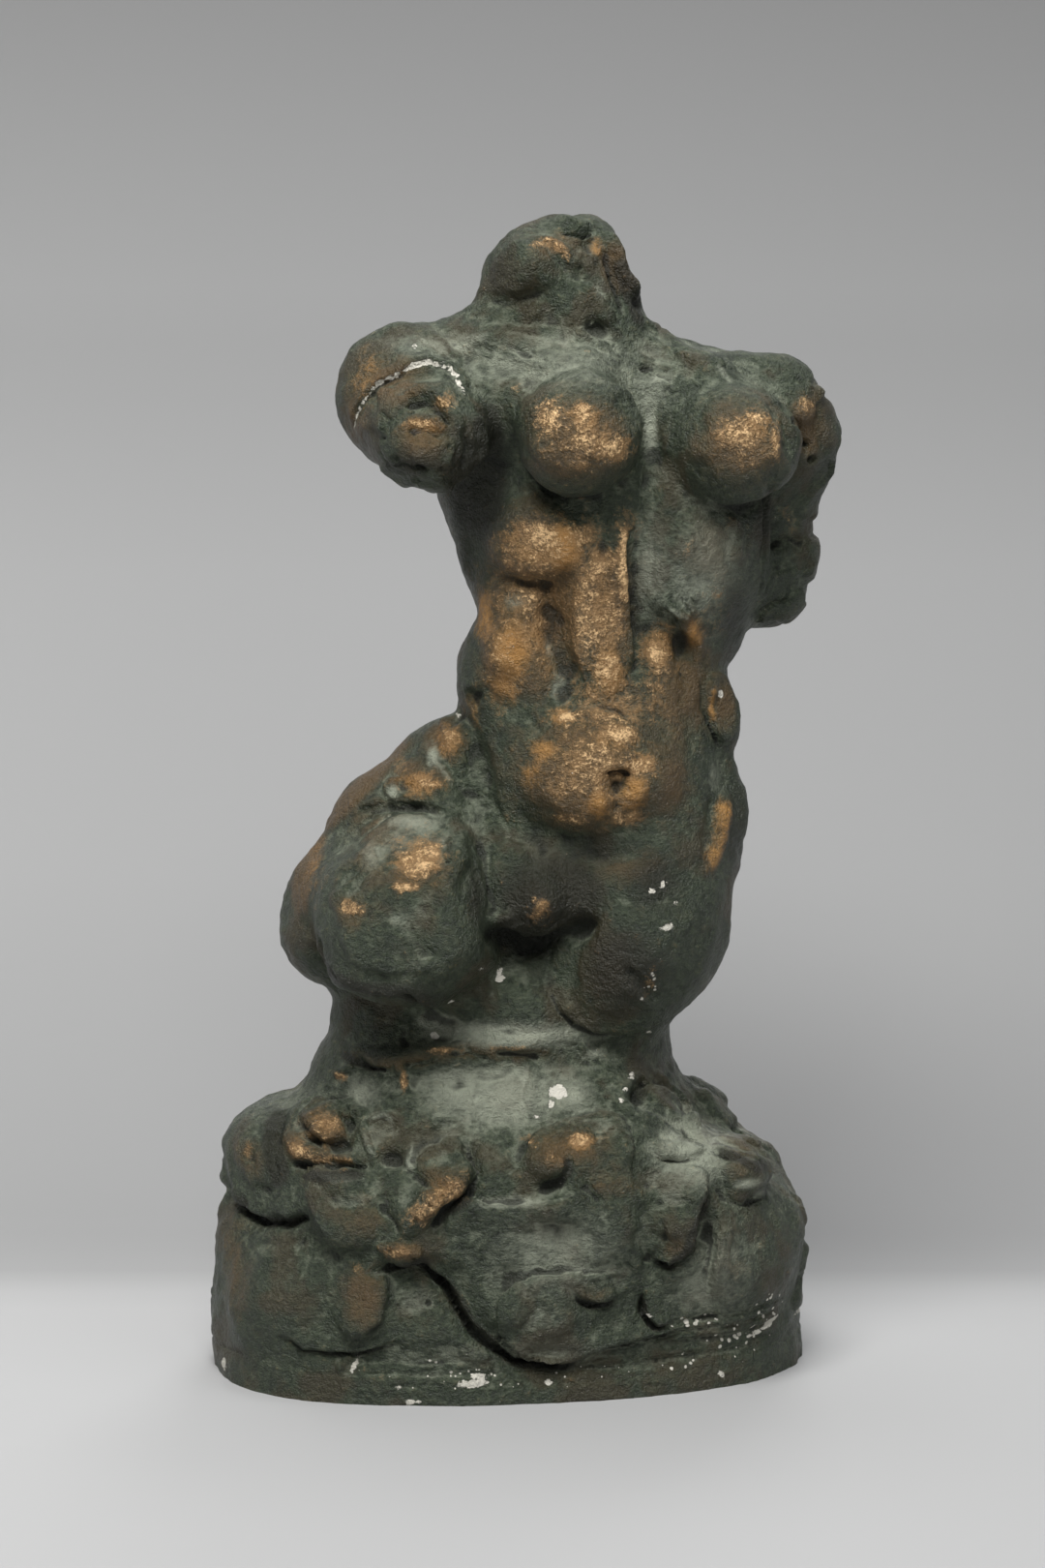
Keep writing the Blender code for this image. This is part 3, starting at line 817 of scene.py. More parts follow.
def work_the_belly():
    ledge([(57, 282), (48, 290), (38, 293.5), (30, 293), (22, 289), (15, 283)], 13, 2.3, edge=3)
    ridge([(17, 286), (24, 290), (33, 293)], 4, 0.9)
    swell((22, 299), (9, 6), -1.8, turn=20)
    swell((16, 266), (12, 18), 1.4)
    scrape((24, 262), (11, 15), strength=0.6)
    groove([(41, 266), (46, 266.4), (50, 265)], 2.8, 3.4, ends=0.1)
    ridge([(39, 270), (45, 270.5), (51, 269.5)], 3, 0.5)
    groove([(45, 264), (46, 257), (46, 250)], 4.5, 2.0)
    swell((38, 255), (5, 8), 1.4)
    swell((54, 259), (5.5, 9), 1.4)
    # Its far side and its underside turn away softly.
    rub([(60, 290), (70, 278), (76, 262), (73, 246), (62, 239)], 11, 60)
    rub([(8, 250), (16, 241), (31, 237), (47, 235), (62, 240)], 8, 24)
    groove([(4, 248), (12, 241), (24, 237), (40, 236)], 7, 1.2)
    swell((66, 262), (14, 28), 2.2, turn=-10)
    swell((6, 268), (12, 20), 1.2)
    for path in ([(-20, 256), (-8, 253), (-2, 245)], [(-14, 252), (-6, 248), (0, 240)]):
        groove(path, 2.6, 0.9)
    swell((2, 232), (11, 6), 1.2, turn=-14)
    groove([(28, 232), (44, 229), (58, 231)], 6, 1.0)


work_the_breasts()
work_the_ribs()
work_the_belly()
skin.done("chest, ribs and belly")

# %% [markdown]
# The near thigh comes forwards as a block: a flat top plane, an arris, then the front plane that
# rounds under. Small pellets of clay were left where the hip folds, and a flat one on the far hip.

# %% Hips and thighs


def work_the_near_thigh():
    pat((-22, 276), (8, 12), 1.6, turn=10, rim=0.4)
    # The triangular plane in the fold of the hip, the bulge beside it and the two pellets.
    scrape((-34, 267), (7, 9), turn=24, strength=0.95)
    groove([(-35, 280), (-29, 270), (-21, 258), (-14, 250)], 6, 1.8)
    swell((-36, 258), (11, 5), 1.6, turn=-8)
    pat((-50, 254), (4.5, 6), 2.6, rim=0.4, ragged=0.05)
    # The flat top of the thigh, under its step.
    ledge([(-66, 245), (-56, 248), (-44, 249), (-33, 249.5), (-20, 246)], 7, 1.9, edge=0.8)
    groove([(-64, 244), (-54, 246.5), (-44, 247.5), (-33, 248)], 2.6, 1.6)
    scrape((-42, 236), (24, 11), turn=4, strength=0.95)
    # The arris: the top plane ends in a step at its right, and slopes off at its left.
    ridge([(-80, 205), (-70, 211), (-60, 216), (-50, 219), (-36, 221), (-24, 227)], 13, 2.6, ends=0.1)
    ledge([(-26, 219), (-22, 228), (-18, 240)], 7, 1.2, edge=1.6)
    scrape((-66, 224), (14, 6), turn=46, strength=0.8)
    ridge([(-75, 212), (-70, 216), (-66, 222)], 2.6, 1.4)
    ridge([(-74, 209), (-67, 208.5), (-57, 212)], 3, 1.6)
    groove([(-70, 212), (-64, 211)], 2.4, 1.2)
    for place in ((-30, 227), (-26, 230), (-28, 224), (-25, 225)):
        swell(place, (2.2, 1.6), -1.6)
    # Two upright arrises bound the front plane.
    ridge([(-17, 241), (-22, 230), (-26, 219), (-27, 206), (-30, 194)], 9, 2.6)
    ridge([(-68, 222), (-72, 211), (-68, 199), (-62, 188)], 8, 1.8)
    scrape((-48, 200), (24, 17), strength=0.9)
    scrape((-16, 216), (8, 20), turn=-8, strength=0.9)
    scrape((-78, 205), (6, 12), turn=10, strength=0.8)
    groove([(-46, 206), (-38, 198), (-32, 192)], 7, 1.4)
    ridge([(-45, 196), (-38, 189), (-30, 190)], 4, 1.0)
    # The gap behind the knee, and the flap that closes it below.
    groove([(-80, 196), (-79, 189), (-77, 182)], 4.5, 4.5, sharp=1.2)
    lap([(-76, 186), (-70, 181), (-63, 178), (-51, 175.5), (-43, 177.5), (-36, 171), (-28, 166)], 9, 2.4, 3)
    groove([(-60, 186), (-50, 182), (-40, 184)], 3.5, 1.2)


def work_the_hips():
    groove([(-12, 238), (-11, 228), (-8, 214), (-6, 202)], 6, 3.0)
    # The pubic mound, and the deep shadow around it.
    swell((12, 212), (12, 15), 2.4)
    swell((-5, 197), (8, 9), -3.5)
    groove([(-9, 205), (-4, 194), (5, 190), (16, 191), (28, 196), (40, 205)], 7, 5.0, sharp=1.1)
    # The far thigh: its inner edge, and the rim that overhangs the seat.
    lap([(18, 170), (22, 162), (28, 156.5), (36, 153), (46, 151.5), (58, 152.5), (67, 157)], 12, 1.8, 1.6)
    groove([(16, 190), (17, 180), (18, 170)], 8, 1.8)
    scrape((40, 176), (12, 17), turn=20, strength=0.6)
    scrape((66, 212), (18, 20), strength=0.5)
    groove([(44, 214), (58, 210), (70, 214)], 8, 1.2)
    groove([(50, 184), (56, 176), (63, 167)], 4, 1.6)
    swell((60, 186), (8, 14), 1.2, turn=-30)
    # A leaf of clay on the far hip, and the long ridge below it.
    pat((46, 291), (8.5, 17), 2.2, turn=6, rim=0.16, ragged=0.04, view=50)
    groove([(35, 304), (35, 290), (44, 275), (50, 276)], 2.8, 2.2, view=50)
    ridge([(94, 255), (93, 244), (91, 232), (86, 221)], 6.5, 1.5)
    groove([(88, 256), (86, 242), (83, 228)], 6, 1.3)


work_the_near_thigh()
work_the_hips()
skin.done("hips and thighs")

# %% [markdown]
# ## The rock
#
# The rock is the same clay, put on in wads with the thumb and dragged with a tool. Each pat keeps its
# own rim, and the deepest gaps run between the big ones. Under them is a plain band where the board
# was, scored by the tool that trimmed it.

# %% The seat and the near side of the rock
SEAT_EDGE = [
    (-72, 142), (-65, 140), (-58, 139), (-52, 140), (-45, 142),
    (-38, 144), (-29, 145), (-19, 147), (-11, 147), (2, 146), (14, 144),
]  # fmt: skip
DEEP_GAP = [
    (-56, 58), (-48, 60), (-37, 62), (-31, 57), (-25, 51),
    (-21, 43), (-15, 33), (-7, 25), (3, 19), (18, 15), (30, 17),
]  # fmt: skip


def work_the_seat():
    ledge(SEAT_EDGE, 8, 1.7)
    for path, depth in (
        ([(-68, 138), (-60, 137), (-52, 138.5)], 2.6),
        ([(-45, 140), (-38, 142), (-29, 143)], 1.6),
        ([(-25, 144.5), (-18, 145), (-12, 142), (-8, 141)], 2.4),
        ([(-7, 144), (4, 143.5), (13, 141.5)], 2.0),
    ):
        groove(path, 2.8, depth, ends=0.1)
    for path in ([(-19, 148), (-12, 146), (-5, 147)], [(-36, 145), (-30, 147), (-25, 146)]):
        ridge(path, 2.6, 1.2)
    ridge([(-46, 144), (-46, 137), (-43, 129)], 3, 1.8)
    ridge([(-76, 131), (-70, 134), (-66, 137)], 3, 1.6)
    groove([(-47, 157), (-46, 150), (-43, 145)], 4, 1.4)
    swell((-30, 158), (14, 6), -1.4)
    ledge([(34, 153), (16, 151), (2, 151.5), (-12, 155)], 7, 1.0, edge=2)
    ridge([(29, 148), (34, 144), (39, 141)], 3, 1.6)
    # The smooth plaque on the slope.
    scrape((27, 130), (19, 13), strength=0.8)
    ledge([(9, 118), (7, 129), (9, 140)][::-1], 8, 0.9, edge=1.2)
    groove([(-17, 126), (-12, 128), (-5, 126)], 3, 1.0)
    swell((-30, 130), (9, 5), 0.9, turn=-10)


def work_the_near_side():
    # The overhanging block at the left, and the gap beneath it.
    ledge([(-122, 82), (-117, 77), (-111, 74), (-104, 71.5), (-95, 73.5), (-87, 78)], 13, 3.4)
    groove([(-122, 80), (-117, 75), (-111, 72), (-104, 70), (-95, 72), (-87, 77)], 4.5, 4.5, sharp=1.2)
    groove([(-97, 121), (-100, 110), (-101, 99), (-98, 88)], 7, 2.0)
    swell((-112, 95), (5, 8), -1.8)
    # A pressed pellet and the sausage of clay below it.
    pat((-78, 115), (12, 7.5), 3.2, turn=-6, rim=0.28)
    swell((-79, 116), (7, 4), -1.1)
    groove([(-66, 121), (-68, 114), (-74, 108)], 3, 2.0)
    ridge([(-94, 108), (-90, 102), (-82, 101), (-72, 102), (-63, 103)], 5, 3.2)
    groove([(-89, 108), (-79, 106.5), (-67, 107.5)], 2.8, 1.6)
    groove([(-93, 97), (-84, 96.5), (-73, 98.5), (-60, 99.5)], 4, 3.2)
    for path, lift in (
        ([(-63, 117), (-60, 109), (-57, 103)], 1.6),
        ([(-61, 116), (-57, 120), (-51, 121), (-47, 117)], 1.2),
        ([(-33, 115), (-29, 118), (-22, 119)], 1.6),
        ([(-44, 110), (-43, 104), (-40, 99)], 2.2),
    ):
        ridge(path, 2.4, lift)
    swell((-50, 104), (7.5, 4.5), -3.6)
    pat((-27, 103), (13, 9), 2.6, turn=-8, rim=0.35)
    groove([(-17, 110), (-13, 101), (-16, 91)], 4, 3.4)
    groove([(-40, 103), (-34, 95), (-24, 94)], 3, 1.4)
    # The wedge: its lit top edge, its side that falls away, and the thumbed lump under it.
    swell((-91, 76), (10, 17), -3.0)
    ledge(
        [(-56, 99), (-66, 98), (-72, 96), (-81, 96), (-86, 92), (-83, 83), (-78, 77), (-74, 70), (-72, 63)],
        15, 3.8,
    )  # fmt: skip
    groove([(-51, 92), (-52, 84), (-46, 75)], 4, 2.6)
    ridge([(-84, 91), (-76, 93), (-68, 92)], 3, 0.8)
    ledge([(-73, 34), (-62, 31.5), (-54, 37), (-51, 46), (-52, 57)], 12, 3.0, edge=1.4)
    ridge([(-54, 58), (-52, 48), (-55, 37)], 3, 0.9)
    # The dragged ridge in the middle, with a gap on its shaded side.
    ridge([(-14, 101), (-22, 97), (-30, 91), (-37, 84), (-44, 75)], 9, 2.6, ends=0.35)
    groove([(-14, 98), (-17, 91), (-27, 84), (-32, 77)], 4.5, 3.8)
    for place in ((-22, 97), (-28, 92), (-33, 88), (-39, 82)):
        swell(place, (2.4, 1.8), -1.2)
    pat((-47, 68), (9.5, 4.5), 2.2)
    for place in ((-50, 68), (-44, 70), (-41, 66)):
        swell(place, (2, 1.6), -1.4)
    rub([(-104, 60), (-100, 44), (-96, 34)], 18, 40)


work_the_seat()
work_the_near_side()
skin.done("seat and near side")

# %% [markdown]
# A broad slab fills the middle, over the deepest gap of the rock. Beyond it a scooped plane catches
# the light, and a block closes the outline. The plain band runs under them all.

# %% The middle and the far side of the rock


def work_the_middle():
    # The broad slab: its lit upper edge, then the deep gap around its lower left.
    ledge(
        [(32, 93), (22, 88), (6, 87.5), (-8, 87.5), (-14, 89), (-19, 89.5), (-26, 84)],
        14, 2.8, edge=0.8,
    )  # fmt: skip
    ledge(DEEP_GAP, 15, 3.4)
    groove(DEEP_GAP, 4.2, 4.6, ends=0.1)
    swell((-40, 47), (13, 16), -2.2)
    swell((-34, 44), (2.6, 2.6), -1.8)
    ledge(
        [(48, 55), (27, 57), (12, 56), (3, 53), (-3, 45), (-4, 34), (6, 21), (22, 16), (40, 21)],
        14, 3.0,
    )  # fmt: skip
    ledge([(27, 50), (31, 45), (38, 43), (47, 45)], 9, 2.4, edge=1)
    groove([(28, 46), (35, 42), (46, 43.5)], 3, 2.6)
    swell((22, 72), (22, 9), -1.4, turn=-12)
    groove([(8, 80), (22, 77), (36, 80)], 5, 1.0)
    # The rounded cake at the top, and the small round one beside it.
    ledge(
        [(49, 96), (51, 105), (50, 114), (46, 119), (39, 121), (31, 119), (22, 116), (10, 112), (4, 104)],
        13, 3.6,
    )  # fmt: skip
    groove([(50, 98), (52, 106), (51, 115)], 3.5, 1.6)
    groove([(31, 95), (37, 89), (46, 89)], 4, 1.6)
    swell((15, 104), (11, 10), 2.2)
    swell((31, 113), (8, 4), 1.6)
    groove([(24, 108), (25, 101), (21, 96), (12, 94)], 4.5, 1.7)
    swell((16, 93), (13, 5), -1.2, turn=12)
    ridge([(47, 110), (48, 100)], 4, 1.4)
    ridge([(27, 96), (29, 92), (31, 89)], 2.2, 1.2)


def work_the_far_side():
    # A scooped light plane under a dark hollow, and the plane beyond its ridge.
    swell((57, 125), (8, 7), -5)
    scrape((71, 116), (16, 10), turn=-45, strength=0.95)
    ledge([(60, 106), (65, 103), (72, 100.5), (80, 101), (86, 104)], 10, 2.6, edge=0.9)
    ridge([(62, 132), (68, 125), (75, 116), (83, 106)], 5, 2.6)
    scrape((77, 118), (8, 7), turn=-40, strength=0.9)
    # The block at the outline, lit along its top.
    groove([(88, 103), (96, 101), (104, 98), (113, 95)], 5, 3.4)
    ledge([(113, 93), (104, 96), (96, 98), (89, 97)], 12, 3.0)
    groove([(88, 92), (92, 84), (100, 80), (112, 80)], 5, 2.6)
    # A long thumbed plane, with a dark channel on its right, then a long upright edge.
    scrape((69, 85), (13, 15), strength=0.85)
    ledge([(58, 68), (61, 61), (68, 59), (75, 66), (80, 79), (84, 95)], 15, 3.8, edge=1.2)
    groove([(60, 63), (68, 57), (76, 63), (82, 78), (86, 94)], 4.5, 2.6)
    swell((85, 72), (6, 15), -2.4)
    ridge([(93, 76), (90, 66), (89, 55), (90, 44)], 6, 2.6)
    scrape((103, 60), (10, 16), strength=0.8)
    # A finger of clay at the foot.
    ledge([(70, 31), (63, 30), (58, 36), (58, 46)][::-1], 8, 2.0, edge=1)
    groove([(57, 45), (57.5, 37), (62, 30), (68, 31)], 3, 3.4)
    groove([(57, 62), (62, 58), (68, 60)], 3, 1.4)
    lap([(32, 20), (46, 24), (60, 25), (74, 26)], 9, 1.8, 2)


def work_the_band():
    lap([(-98, 27), (-93, 26), (-87, 22.5), (-75, 22), (-60, 24), (-48, 26)], 8, 2.0, 2.2)
    ridge([(-66, 24), (-70, 17), (-74, 12)], 3, 1.2)
    for height_mm, depth in ((18, 0.9), (13.5, 0.8), (8, 0.8), (4, 0.6)):
        groove([(-80, height_mm + 1), (-20, height_mm), (40, height_mm), (96, height_mm + 3)], 2.4, depth)
    for azimuth in range(40, 321, 40):
        groove([(-40, 15), (0, 12), (40, 15)], 2.6, 1.0, view=azimuth)
    for height_mm, depth in ((33, 1.6), (28, 1.8), (23, 1.4), (17, 1.2)):
        groove([(24, height_mm - 2), (64, height_mm - 1), (100, height_mm + 1)], 2.6, depth, view=20)


work_the_middle()
work_the_far_side()
work_the_band()
skin.done("middle, far side and band")

# %% [markdown]
# Around the sides and the back the same clay goes on in pats of different sizes with a gap here and
# there.

# %% Pats around the rest of the rock
PATS_AROUND = 54
SETTLE_PATS_EVERY = 9


def work_the_rest_of_the_rock():
    hand = np.random.default_rng(HAND_SEED + 1)
    for number in range(PATS_AROUND):
        spot = touch(hand.uniform(62, 298), (hand.uniform(-45, 45), hand.uniform(22, 118)))
        if spot is None:
            continue
        size = (hand.uniform(9, 19), hand.uniform(6, 13))
        turn = hand.uniform(-40, 40)
        pat_at(spot, size, hand.uniform(1.0, 2.2), turn, rim=0.45, tilt=hand.uniform(0, 0.5))
        if number % SETTLE_PATS_EVERY == SETTLE_PATS_EVERY - 1:
            skin.settle()


work_the_rest_of_the_rock()
skin.done("rest of the rock")

# %% [markdown]
# ## The surface of the clay
#
# Every stroke left the clay a little soft, so its hills are raised and its hollows are sunk once more.
# A hand never draws a true curve, so the whole skin drifts a little sideways, which bends every edge
# and rim. A second round of small strokes goes over it. Then come dents from the fingers, smaller ones
# from the tool, and a grain from the plaster itself, stronger on the rock and on the broken stumps.

# %% Dent the surface
DRIFTS = [(22, 1.5), (7, 0.6)]
DRIFT_START = 40
DENTS = [(26, 0.6), (11, 0.35), (5, 0.22), (2.6, 0.12)]
DENT_GAIN = 1.5
ROUGH_HEIGHTS = (0, 110, 150, 380, 440, 480, 500)
ROUGHNESS = (1.2, 1.3, 0.9, 0.7, 0.8, 1.3, 1.5)
SHARP_FOOT = 6
FOOT_FADE = 10
STILL_FOOT = 15


def crispen(passes, strength, most):
    """Lifts what stands out and sinks what lies low, which makes the edges bite."""
    free = np.clip((skin.points[:, 2] / MM - SHARP_FOOT) / FOOT_FADE, 0, 1)
    stand = np.clip(skin.standing(passes) * strength, -most, most)
    push(np.arange(len(skin.points)), stand * free)


def drift_sideways():
    """Shifts every point by a cloudy amount, less and less towards the foot."""
    free = np.clip(skin.points[:, 2:] / (STILL_FOOT * MM), 0, 1)
    for size, reach in DRIFTS:
        places = skin.points / (size * MM) + DRIFT_START
        drift = np.array([noise.noise_vector(p)[:] for p in places.tolist()])
        skin.points += drift * free * reach * MM


def dent_the_surface():
    rough = np.interp(skin.points[:, 2] / MM, ROUGH_HEIGHTS, ROUGHNESS)
    everywhere = np.arange(len(skin.points))
    for size, depth in DENTS:
        places = skin.points / (size * MM)
        wave = np.array([noise.noise(p) for p in places.tolist()])
        push(everywhere, wave * rough * depth * DENT_GAIN)


crispen(passes=36, strength=0.42, most=1.1)
skin.settle()
drift_sideways()
skin.settle()
go_over_by_hand(strokes=900, length=9, depth=0.35, seed=HAND_SEED + 2)
skin.done("second round by hand")
dent_the_surface()
skin.settle()

# %% [markdown]
# ## Thinning, and the flat underside
#
# The carved skin has more triangles than its forms need. The Decimate modifier keeps them where the
# surface bends and drops them where it is even. Then the spare clay below the ground is cut off, which
# leaves the flat underside that the sculpture stands on, with a crisp edge.

# %% Cut the underside and thin the mesh
TRIANGLES = 198000
SHARP_ANGLE = 70


def cut_underside(mesh):
    body = bmesh.new()
    body.from_mesh(mesh)
    everything = body.verts[:] + body.edges[:] + body.faces[:]
    bmesh.ops.bisect_plane(
        body, geom=everything, dist=1e-7, plane_co=(0, 0, 0), plane_no=(0, 0, 1), clear_inner=True
    )
    rim = [e for e in body.edges if e.is_boundary]
    bmesh.ops.holes_fill(body, edges=rim, sides=0)
    bmesh.ops.triangulate(body, faces=body.faces[:])
    body.to_mesh(mesh)
    body.free()


def thin(mesh):
    """Keeps about TRIANGLES of them. The spare clay below the ground is cut off after it."""
    count = sum(len(face.vertices) - 2 for face in mesh.polygons)
    return worked(mesh, ("DECIMATE", {"ratio": TRIANGLES / count}))


torso_mesh = thin(skin.mesh)
cut_underside(torso_mesh)
bpy.data.objects.remove(skin.object)
torso_mesh.name = "torso"
torso_mesh.shade_smooth()
torso_mesh.set_sharp_from_angle(angle=math.radians(SHARP_ANGLE))
torso = shown("torso", torso_mesh)
print("torso: triangles", len(torso_mesh.polygons))

# %% [markdown]
# ## Where the paint has worn
#
# The paint follows the hand too: brown, amber and copper were rubbed on chosen high points, and dust lies
# where it could settle. Two layers paint light: painted shade darkens the deepest gaps and the places where
# shadow falls, and the pale dust layer also paints sheen on planes turned to the light. These are stored
# as numbers on the mesh's points, which the material then breaks up with its own grain. White chips are
# stored as a distance to their rim, so that they stay crisp.

# %% Tools for the wear
# Kinds of mark: copper, amber and brown are rubbed paint, one is painted shade, the pale one is dust and
# painted sheen, and specks are bare plaster.
KINDS = ("copper", "amber", "brown", "painted_shade", "dust_and_sheen", "specks")
FAR_FROM_CHIPS = 20
CHIP_MARGIN = 4
CHIP_DEPTH = 6
CRACK_REACH = 6

skin = Skin(torso_mesh)
wear_and_painted_light = {name: np.zeros(len(skin.points), np.float32) for name in KINDS}
wear_and_painted_light["bare"] = np.full(len(skin.points), FAR_FROM_CHIPS, np.float32)


def dab(kind, place, size, amount, turn=0, view="front", core=0.0):
    """Paints an oval: full strength out to core, then fading to its rim."""
    spot = touch(view, place)
    if spot is None:
        print("beside the figure:", kind, place)
        return
    places, spread, _, hold = oval(spot, size, turn)
    mark = ease(np.clip((1 - spread) / (1 - core), 0, 1)) * hold * amount
    wear_and_painted_light[kind][places] = np.maximum(wear_and_painted_light[kind][places], mark)


def streak(kind, path, width, amount, view="front"):
    line, along = trace(view, path)
    places, gaps, nearest = near_line(line, width)
    mark = (1 - gaps * gaps) * fade(along, 0.2)[nearest] * amount
    wear_and_painted_light[kind][places] = np.maximum(wear_and_painted_light[kind][places], mark)


def chip(place, size, turn=0, view="front"):
    """Bare plaster: the distance in millimetres beyond the rim of an oval chip."""
    spot = touch(view, place)
    places = oval(spot, [side + CHIP_MARGIN for side in size], turn)[0]
    offset = (skin.points[places] - spot.centre) / MM
    u, v = in_the_oval(offset, spot, size, turn)
    away = np.sqrt(u * u + v * v + (offset @ spot.out / CHIP_DEPTH) ** 2)
    wear_and_painted_light["bare"][places] = np.minimum(wear_and_painted_light["bare"][places], (away - 1) * min(size))


def bare_line(path, widths, view="front"):
    """A crack filled with plaster: its half-width changes along it."""
    line, along = trace(view, path)
    places, gaps, nearest = near_line(line, CRACK_REACH)
    width = np.interp(along, np.linspace(0, 1, len(widths)), widths)[nearest]
    wear_and_painted_light["bare"][places] = np.minimum(wear_and_painted_light["bare"][places], gaps * CRACK_REACH - width)


# %% [markdown]
# Every mark is an oval or a streak with its place, its half-sizes and its strength. Wide thin ones go
# under small strong ones. The chips and the crack come last, with bare plaster in them.

# %% Copper, painted shade, dust with painted sheen, and chips


